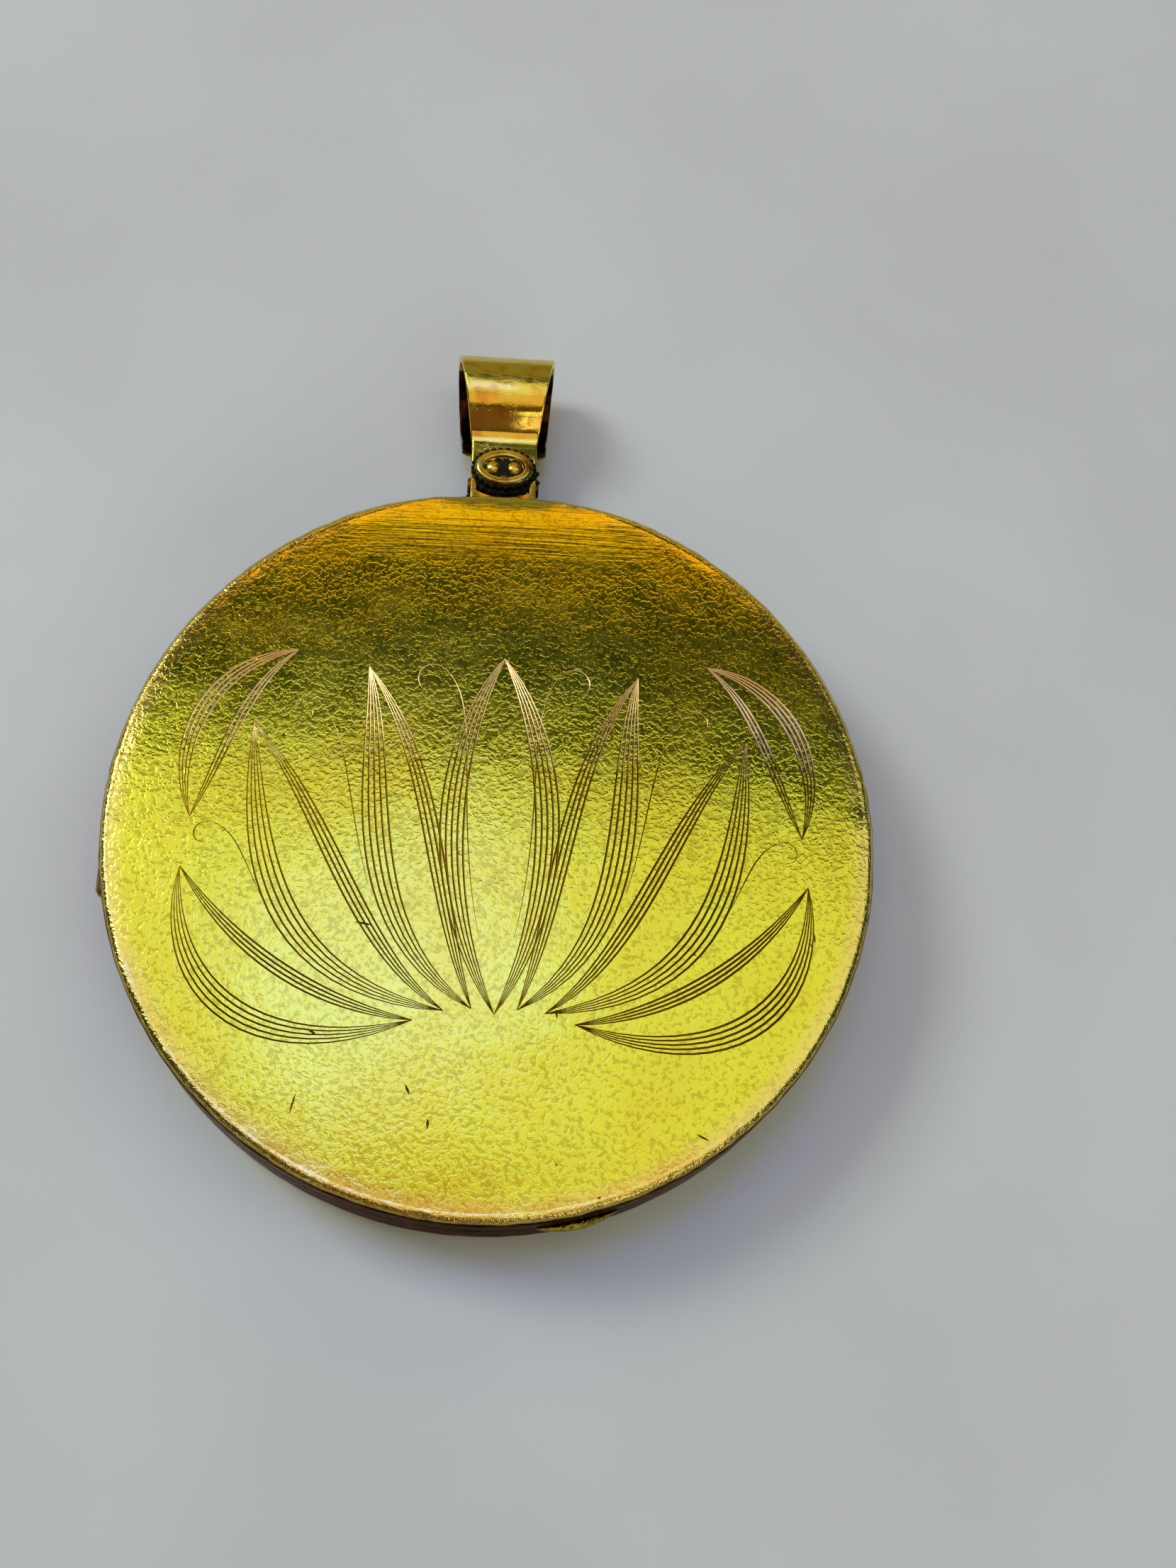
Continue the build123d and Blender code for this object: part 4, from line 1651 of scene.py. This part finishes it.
@dataclass
class BailStrap:
    """One gold strip folded into a loop, its front leg tapered. Millimetres from the pivot."""

    pivot_y: float = 17.85
    pivot_z: float = 2.15
    thickness: float = 0.30
    leg_offset: float = 0.50
    end: float = 0.40
    end_width: float = 2.30
    shoulder: float = 0.85
    neck_width: float = 3.0
    crest_width: float = 4.56
    back_width: float = 3.94
    back_station: float = 2.10
    loop_distance: float = 4.60
    loop_radius: float = 1.95
    throat_radius: float = 1.20
    neck_rise: float = 0.06
    crease_at_deg: float = 86.0
    crease_deg: float = 17.0
    dent_mm: float = 0.05
    edge_mm: float = 0.07
    dent_scale_mm: float = 1.1

    def path(self) -> list[tuple[float, float, float]]:
        """Middle line of the strip, front leg first.

        Returns:
            (distance from the pivot, height over it, width) at each station.
        """
        offset = self.leg_offset + self.throat_radius
        reach = self.loop_radius + self.throat_radius
        station = self.loop_distance - math.sqrt(reach**2 - offset**2)
        turn = math.degrees(math.asin(offset / reach))
        legs = [self.end, self.shoulder - 0.02, self.shoulder, station]
        front = [(s, self.leg_offset) for s in legs]
        front += arc((station, offset), self.throat_radius, -90, -90 + turn, 8)[1:]
        middle = (self.loop_distance, 0)
        half_crease = self.crease_deg / 2
        before, after = self.crease_at_deg + half_crease, self.crease_at_deg - half_crease
        loop = arc(middle, self.loop_radius, 180 - turn, before, 10)
        ridge = self.loop_radius / math.cos(math.radians(half_crease))
        loop += arc(middle, ridge, self.crease_at_deg, self.crease_at_deg - 1, 2)[:1]
        loop += arc(middle, self.loop_radius, after, turn - 180, 38)
        back = [(s, -z) for s, z in reversed(front)]
        front = [(s, z + self.neck_rise * max(0.0, s - self.end) / (station - self.end)) for s, z in front]
        line = [*front, *loop[1:-1], *back]
        return [(s, z, self.width(s, z, station)) for s, z in line]

    def width(self, s: float, z: float, station: float) -> float:
        """Width of the strip at a station.

        Args:
            s: distance from the pivot.
            z: height over the pivot, negative on the back leg.
            station: where the neck ends.

        Returns:
            The strip's width.
        """
        crest = self.loop_distance + self.loop_radius
        if s < self.shoulder:
            return self.end_width
        if s <= station:
            return self.neck_width
        if z >= 0:
            share = (s - station) / (crest - station)
            return self.neck_width + (self.crest_width - self.neck_width) * share
        if s < self.back_station:
            share = (s - station) / (self.back_station - station)
            return self.neck_width + (self.back_width - self.neck_width) * share
        share = (s - self.back_station) / (crest - self.back_station)
        return self.back_width + (self.crest_width - self.back_width) * share

    def build(self) -> bpy.types.Object:
        """Draws the strip out along its path, thickens it and rounds its edges.

        Returns:
            The finished strap.
        """
        stations = self.path()
        s0, z0, w0 = stations[0]
        strap = first_vertex(
            "bail_strap_folded", (-w0 / 2 * MM, (self.pivot_y + s0) * MM, (self.pivot_z + z0) * MM)
        )
        bpy.ops.mesh.extrude_region_move(TRANSFORM_OT_translate={"value": (w0 * MM, 0, 0)})
        bpy.ops.mesh.select_all(action="SELECT")
        for (s, z, width), (next_s, next_z, next_width) in zip(stations, stations[1:]):
            step = (0.0, (next_s - s) * MM, (next_z - z) * MM)
            bpy.ops.mesh.extrude_region_move(TRANSFORM_OT_translate={"value": step})
            bpy.ops.transform.resize(value=(next_width / width, 1, 1), center_override=(0, 0, 0))
        bpy.ops.mesh.select_all(action="SELECT")
        bpy.ops.mesh.normals_make_consistent(inside=False)
        bpy.ops.object.mode_set(mode="OBJECT")
        apply_modifier(strap, "SOLIDIFY", thickness=self.thickness * MM, offset=0.0, use_even_offset=True)
        close_up(strap)
        apply_modifier(
            strap,
            "BEVEL",
            width=self.edge_mm * MM,
            segments=3,
            limit_method="ANGLE",
            angle_limit=math.radians(50),
        )
        apply_modifier(strap, "SUBSURF", levels=1, render_levels=1, subdivision_type="SIMPLE")
        clouds = bpy.data.textures.new("strap_dents", "CLOUDS")
        clouds.noise_scale = self.dent_scale_mm * MM
        apply_modifier(
            strap,
            "DISPLACE",
            texture=clouds,
            texture_coords="LOCAL",
            strength=self.dent_mm * MM,
            mid_level=0.5,
        )
        smooth(strap, 14)
        return strap


@dataclass
class BailBoss:
    """Oval boss with a sunk field round the two rivet heads. Millimetres."""

    half_width: float = 1.36
    half_length: float = 0.98
    height: float = 0.30
    field_width: float = 0.98
    field_length: float = 0.58
    field_depth: float = 0.14
    sides: int = 96
    edge_mm: float = 0.05
    shoulder_drop: float = 0.13

    def build(self) -> bpy.types.Object:
        """Shapes the boss from a cylinder.

        Returns:
            The finished boss.
        """
        low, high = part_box("bail_boss")
        middle = (low + high) / 2
        bpy.ops.object.select_all(action="DESELECT")
        bpy.ops.mesh.primitive_cylinder_add(
            vertices=self.sides, radius=1.0, depth=self.height * MM, location=middle, end_fill_type="NGON"
        )
        boss = name_piece("bail_boss_chased")
        boss.scale = (self.half_width * MM, self.half_length * MM, 1.0)
        settle(boss)
        bpy.ops.object.mode_set(mode="EDIT")
        bpy.ops.mesh.select_mode(type="FACE")
        bpy.ops.mesh.select_all(action="DESELECT")
        bpy.ops.object.mode_set(mode="OBJECT")
        for face in boss.data.polygons:
            face.select = face.normal.z > 0.9
        bpy.ops.object.mode_set(mode="EDIT")
        scales = (
            (0.88, 0.84, 0.0),
            (self.field_width / (self.half_width * 0.88), self.field_length / (self.half_length * 0.84), 0.0),
            (0.94, 0.90, -self.field_depth),
        )
        for wide, long, sink in scales:
            bpy.ops.mesh.extrude_region_move(TRANSFORM_OT_translate={"value": (0, 0, sink * MM)})
            bpy.ops.transform.resize(value=(wide, long, 1), center_override=(middle.x, middle.y, 0))
        bpy.ops.object.mode_set(mode="OBJECT")
        self.round_shoulder(boss, high.z)
        close_up(boss)
        apply_modifier(
            boss,
            "BEVEL",
            width=self.edge_mm * MM,
            segments=3,
            limit_method="ANGLE",
            angle_limit=math.radians(28),
        )
        smooth(boss, 45)
        return boss

    def round_shoulder(self, boss: bpy.types.Object, top: float) -> None:
        """Lowers the outermost ring of the top, so that the boss rolls over at its edge."""
        middle = (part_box("bail_boss")[0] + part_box("bail_boss")[1]) / 2
        for vertex in boss.data.vertices:
            x = (vertex.co.x - middle.x) / (self.half_width * MM)
            y = (vertex.co.y - middle.y) / (self.half_length * MM)
            if math.hypot(x, y) > 0.97 and vertex.co.z > top - 0.01 * MM:
                vertex.co.z -= self.shoulder_drop * MM


@dataclass
class GrimeAndShadow:
    """A near-black crust that paints the shadow in the gap at the neck of the bail, dried soil with bits that
    stand out beside it, and a bloom of copper salt.
    """

    shadow_and_grime_notch: tuple[tuple[Point3, Point3], ...] = (
        # The first seven lumps are a near-black crust laid in the gap under the boss as painted shadow; the
        # rest are dried soil.
        ((-1.12, 17.88, 2.50), (0.20, 0.22, 0.22)),
        ((-0.86, 17.62, 2.50), (0.30, 0.22, 0.22)),
        ((-0.45, 17.47, 2.50), (0.36, 0.20, 0.22)),
        ((0.00, 17.42, 2.50), (0.40, 0.20, 0.22)),
        ((0.45, 17.47, 2.50), (0.36, 0.20, 0.22)),
        ((0.86, 17.62, 2.50), (0.30, 0.24, 0.22)),
        ((1.16, 17.86, 2.52), (0.22, 0.26, 0.22)),
        ((1.36, 18.16, 2.62), (0.18, 0.30, 0.18)),
        ((1.50, 18.40, 2.64), (0.15, 0.14, 0.13)),
        ((1.52, 17.98, 2.60), (0.17, 0.10, 0.12)),
        ((1.40, 18.66, 2.66), (0.10, 0.24, 0.12)),
    )
    spike: tuple[tuple[Point3, Point3], ...] = (
        ((-1.50, 17.26, 2.30), (0.10, 0.14, 0.20)), ((-1.60, 17.30, 2.22), (0.10, 0.07, 0.10))
    )
    bloom: tuple[tuple[Point3, Point3], ...] = (
        ((-0.03, 18.62, 2.86), (0.09, 0.30, 0.07)),
        ((0.00, 18.20, 2.88), (0.10, 0.28, 0.08)),
        ((0.06, 17.90, 2.92), (0.13, 0.20, 0.08)),
    )
    ring_lumps: int = 26
    ring_size: Point2 = (1.37, 0.99)
    field_size: Point2 = (0.94, 0.54)
    rough_mm: float = 0.10
    voxel_mm: float = 0.028
    lump_mm: float = 0.2

    def ring(self) -> list[tuple[Point3, Point3]]:
        """Thin lumps along the foot of the boss.

        Returns:
            (place, half sizes) of each lump, in millimetres.
        """
        low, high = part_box("bail_boss")
        x, y, z = (low.x + high.x) / 2 / MM, (low.y + high.y) / 2 / MM, low.z / MM
        turns = [math.tau * i / self.ring_lumps for i in range(self.ring_lumps)]
        wide, long = self.ring_size
        return [
            ((x + wide * math.cos(a), y + long * math.sin(a), z + 0.06), (0.15, 0.12, 0.12)) for a in turns
        ]

    def field(self) -> list[tuple[Point3, Point3]]:
        """A thin crust over the sunk field of the boss.

        Returns:
            (place, half sizes) of each lump, in millimetres.
        """
        low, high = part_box("bail_boss")
        x, y, z = (low.x + high.x) / 2 / MM, (low.y + high.y) / 2 / MM, high.z / MM - 0.15
        wide, long = self.field_size
        return [((x, y, z), (wide, long, 0.055))]

    def crumb(self, name: str, lumps: Iterable[tuple[Point3, Point3]]) -> bpy.types.Object:
        """Makes one crust of several overlapping lumps.

        Args:
            name: the crust's name.
            lumps: (place, half sizes) of each lump, in millimetres.

        Returns:
            The crust.
        """
        made = []
        for place, half in lumps:
            bpy.ops.object.select_all(action="DESELECT")
            bpy.ops.mesh.primitive_ico_sphere_add(
                subdivisions=4, radius=MM, location=[c * MM for c in place], scale=half
            )
            made.append(bpy.context.object)
        select_only(*made)
        bpy.ops.object.join()
        crust = name_piece(name)
        settle(crust)
        apply_modifier(crust, "REMESH", mode="VOXEL", voxel_size=self.voxel_mm * MM)
        clouds = bpy.data.textures.new(name, "CLOUDS")
        clouds.noise_scale = self.lump_mm * MM
        clouds.noise_depth = 3
        apply_modifier(
            crust,
            "DISPLACE",
            texture=clouds,
            texture_coords="LOCAL",
            strength=self.rough_mm * MM,
            mid_level=0.5,
        )
        smooth(crust, 60)
        return crust


@dataclass
class Bail:
    """The swinging bail, and the saddle and pin that hold it."""

    strap: BailStrap = field(default_factory=BailStrap)
    boss: BailBoss = field(default_factory=BailBoss)
    grime_and_shadow: GrimeAndShadow = field(default_factory=GrimeAndShadow)

    def dress(
        self,
        strap_gold: bpy.types.Material,
        neck_gold: bpy.types.Material,
        wire: bpy.types.Material,
        dirt_and_shade: bpy.types.Material,
        salt: bpy.types.Material,
    ) -> None:
        """Builds each piece and puts it in place.

        Args:
            strap_gold: for the strap.
            neck_gold: for boss, rivets, saddle and eye.
            wire: for the cross pin.
            dirt_and_shade: for the crusts of dried soil, and for the painted shadow in the neck of the bail.
            salt: for the bloom between the rivets.
        """
        install(self.strap.build(), strap_gold, Body.BAIL, Slot.BAIL_GOLD, "bail_strap")
        install(self.boss.build(), neck_gold, Body.BAIL, Slot.BAIL_GOLD, "bail_boss")
        for side in ("left", "right"):
            node = f"bail_rivet_{side}"
            install(carry(node, f"{node}_domed"), neck_gold, Body.BAIL, Slot.BAIL_GOLD, node)
        install(carry("bail_eye", "bail_eye_rounded", 0.04), neck_gold, Body.BAIL, Slot.BAIL_GOLD, "bail_eye")
        saddle = carry("bail_saddle", "bail_saddle_filed", 0.05)
        install(saddle, neck_gold, Body.BACK, Slot.BAIL_GOLD, "bail_saddle")
        install(carry("bail_pin", "bail_pin_upset"), wire, Body.BACK, Slot.HINGE_WIRE, "bail_pin")
        # This crust is painted shadow in the gap at the neck, with dried soil at its right end.
        install(self.grime_and_shadow.crumb("neck_shadow_and_grime", self.grime_and_shadow.shadow_and_grime_notch), dirt_and_shade, Body.BAIL, Slot.BAIL_GOLD)
        install(self.grime_and_shadow.crumb("boss_foot_grime", self.grime_and_shadow.ring()), dirt_and_shade, Body.BAIL, Slot.BAIL_GOLD)
        install(self.grime_and_shadow.crumb("boss_field_grime", self.grime_and_shadow.field()), dirt_and_shade, Body.BAIL, Slot.BAIL_GOLD)
        install(self.grime_and_shadow.crumb("saddle_grime", self.grime_and_shadow.spike), dirt_and_shade, Body.BACK, Slot.BAIL_GOLD)
        install(self.grime_and_shadow.crumb("verdigris_bloom", self.grime_and_shadow.bloom), salt, Body.BAIL, Slot.BAIL_GOLD)


# ------------------------------------------------------------------------------------------ studio


@dataclass(frozen=True)
class Softbox:
    """One flat lamp that looks at the locket. Metres, degrees and watts."""

    name: str
    azimuth: float
    tilt: float
    distance: float
    width: float
    height: float
    power: float
    colour: str = "FFFFFF"

    def hang(self) -> None:
        """Hangs the lamp at its tilt from straight overhead, towards its azimuth from +X."""
        lamp = bpy.data.lights.new(self.name, "AREA")
        lamp.shape = "RECTANGLE"
        lamp.size = self.width
        lamp.size_y = self.height
        lamp.energy = self.power
        lamp.color = linear(self.colour)[:3]
        holder = bpy.data.objects.new(self.name, lamp)
        bpy.context.scene.collection.objects.link(holder)
        tilt, turn = math.radians(self.tilt), math.radians(self.azimuth)
        towards = Vector((math.sin(tilt) * math.cos(turn), math.sin(tilt) * math.sin(turn), math.cos(tilt)))
        holder.location = towards * self.distance
        holder.rotation_euler = (-towards).to_track_quat("-Z", "Y").to_euler()


@dataclass
class Studio:
    """Plain pale floor, soft lamps, and the camera over the locket. Metres."""

    floor_size: float = 3.0
    focal_mm: float = 40.69
    sensor_mm: float = 36.0
    eye: Point3 = (-0.001404, -0.024235, 0.074392)
    turn_deg: Point3 = (20.769, -4.632, 0.654)
    ambient: str = "3A4242"
    ambient_strength: float = 1.0
    lamps: tuple[Softbox, ...] = (
        Softbox("overhead_softbox", 85, 9.3, 0.50, 0.90, 0.260, 0.78, "F4F8EE"),
        Softbox("overhead_cool_core", 117, 11.0, 0.50, 0.17, 0.13, 0.34, "2848FF"),
        Softbox("key_upper_left", 152, 46.0, 0.60, 0.20, 0.20, 1.15),
        Softbox("warm_far_card", 92, 46.8, 0.50, 0.52, 0.12, 0.24, "FFC60C"),
        Softbox("far_wall", 90, 74.0, 0.60, 1.40, 0.33, 0.33, "FFF8A0"),
        Softbox("peach_near_card", 270, 19.5, 0.50, 0.40, 0.23, 0.26, "FFD8AC"),
        Softbox("brown_near_wall", 270, 62.0, 0.60, 1.00, 0.40, 0.17, "FF8A30"),
        Softbox("lower_right_strip", -60, 58.0, 0.60, 0.36, 0.20, 0.36),
    )

    def floor(self, board: bpy.types.Material) -> None:
        """Lays the floor.

        Args:
            board: the floor's material.
        """
        bpy.ops.object.select_all(action="DESELECT")
        bpy.ops.mesh.primitive_plane_add(size=self.floor_size)
        floor = name_piece("floor")
        floor.data.materials.append(board)

    def camera(self) -> None:
        """Sets up the camera over the locket, looking down and a little towards the bail."""
        lens = bpy.data.cameras.new("camera")
        lens.sensor_fit = "VERTICAL"
        lens.sensor_height = self.sensor_mm
        lens.lens = self.focal_mm
        lens.clip_start = 0.005
        camera = bpy.data.objects.new("camera", lens)
        bpy.context.scene.collection.objects.link(camera)
        camera.location = self.eye
        camera.rotation_euler = [math.radians(a) for a in self.turn_deg]
        bpy.context.scene.camera = camera

    def sky(self) -> None:
        """Fills the room with dim, even light."""
        world = bpy.data.worlds.new("room")
        bpy.context.scene.world = world
        world.use_nodes = True
        background = world.node_tree.nodes["Background"]
        background.inputs["Color"].default_value = linear(self.ambient)
        background.inputs["Strength"].default_value = self.ambient_strength

    def set_up(self, board: bpy.types.Material) -> None:
        """Builds floor, lamps, room light and camera.

        Args:
            board: the floor's material.
        """
        self.camera()
        self.floor(board)
        self.sky()
        for lamp in self.lamps:
            lamp.hang()
        bpy.context.scene.view_settings.view_transform = "Standard"


def main() -> None:
    """Builds the locket's looks in order."""
    logging.basicConfig(level=logging.INFO, format="%(name)s: %(message)s")
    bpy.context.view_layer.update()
    Studio().set_up(PaleMat().make())
    gold = RolledGold().make()
    strap_gold = PolishedStrap().make()
    neck_gold = PolishedStrap(
        name="rolled_gold_soldered_and_filed", gold="C9A83C", gold_pale="D0C060", copper="7E5A1C",
        roughness=0.2,
        leg_shade_below_mm=-1.0,
    ).make()
    gilt = TurnedGilt().make()
    bright_gilt = TurnedGilt(name="gilt_brass_polished", gold="E0BE58", roughness=0.14).make()
    wire = DrawnWire().make()
    # Walls of the engraved cuts, with painted highlight and shade.
    cut_highlight_and_shade = BrightCut().make()
    FrontCover().dress(gold, cut_highlight_and_shade)
    lip_gold = RolledGold(
        name="rolled_gold_lip_worn", tarnish="5A5410", tarnish_and_shade_pale="A8A038", side_shade_tint="FFFFFF"
    )
    BackCover().dress(gold, lip_gold.make())
    PictureFrames().dress(gilt, bright_gilt, YellowedDisc().make(), PrintCard().make())
    CaseHinge().dress(wire, wire)
    # This dark crust material is dried soil, and also painted shadow in the neck of the bail.
    dirt_and_shade = Deposit("dried_dirt_and_painted_shadow", "070803", "24260F").make()
    salt = Deposit("copper_salt_crumbly", "2F4038", "7E9A8C").make()
    Bail().dress(strap_gold, neck_gold, wire, dirt_and_shade, salt)


if __name__ == "__main__":
    main()
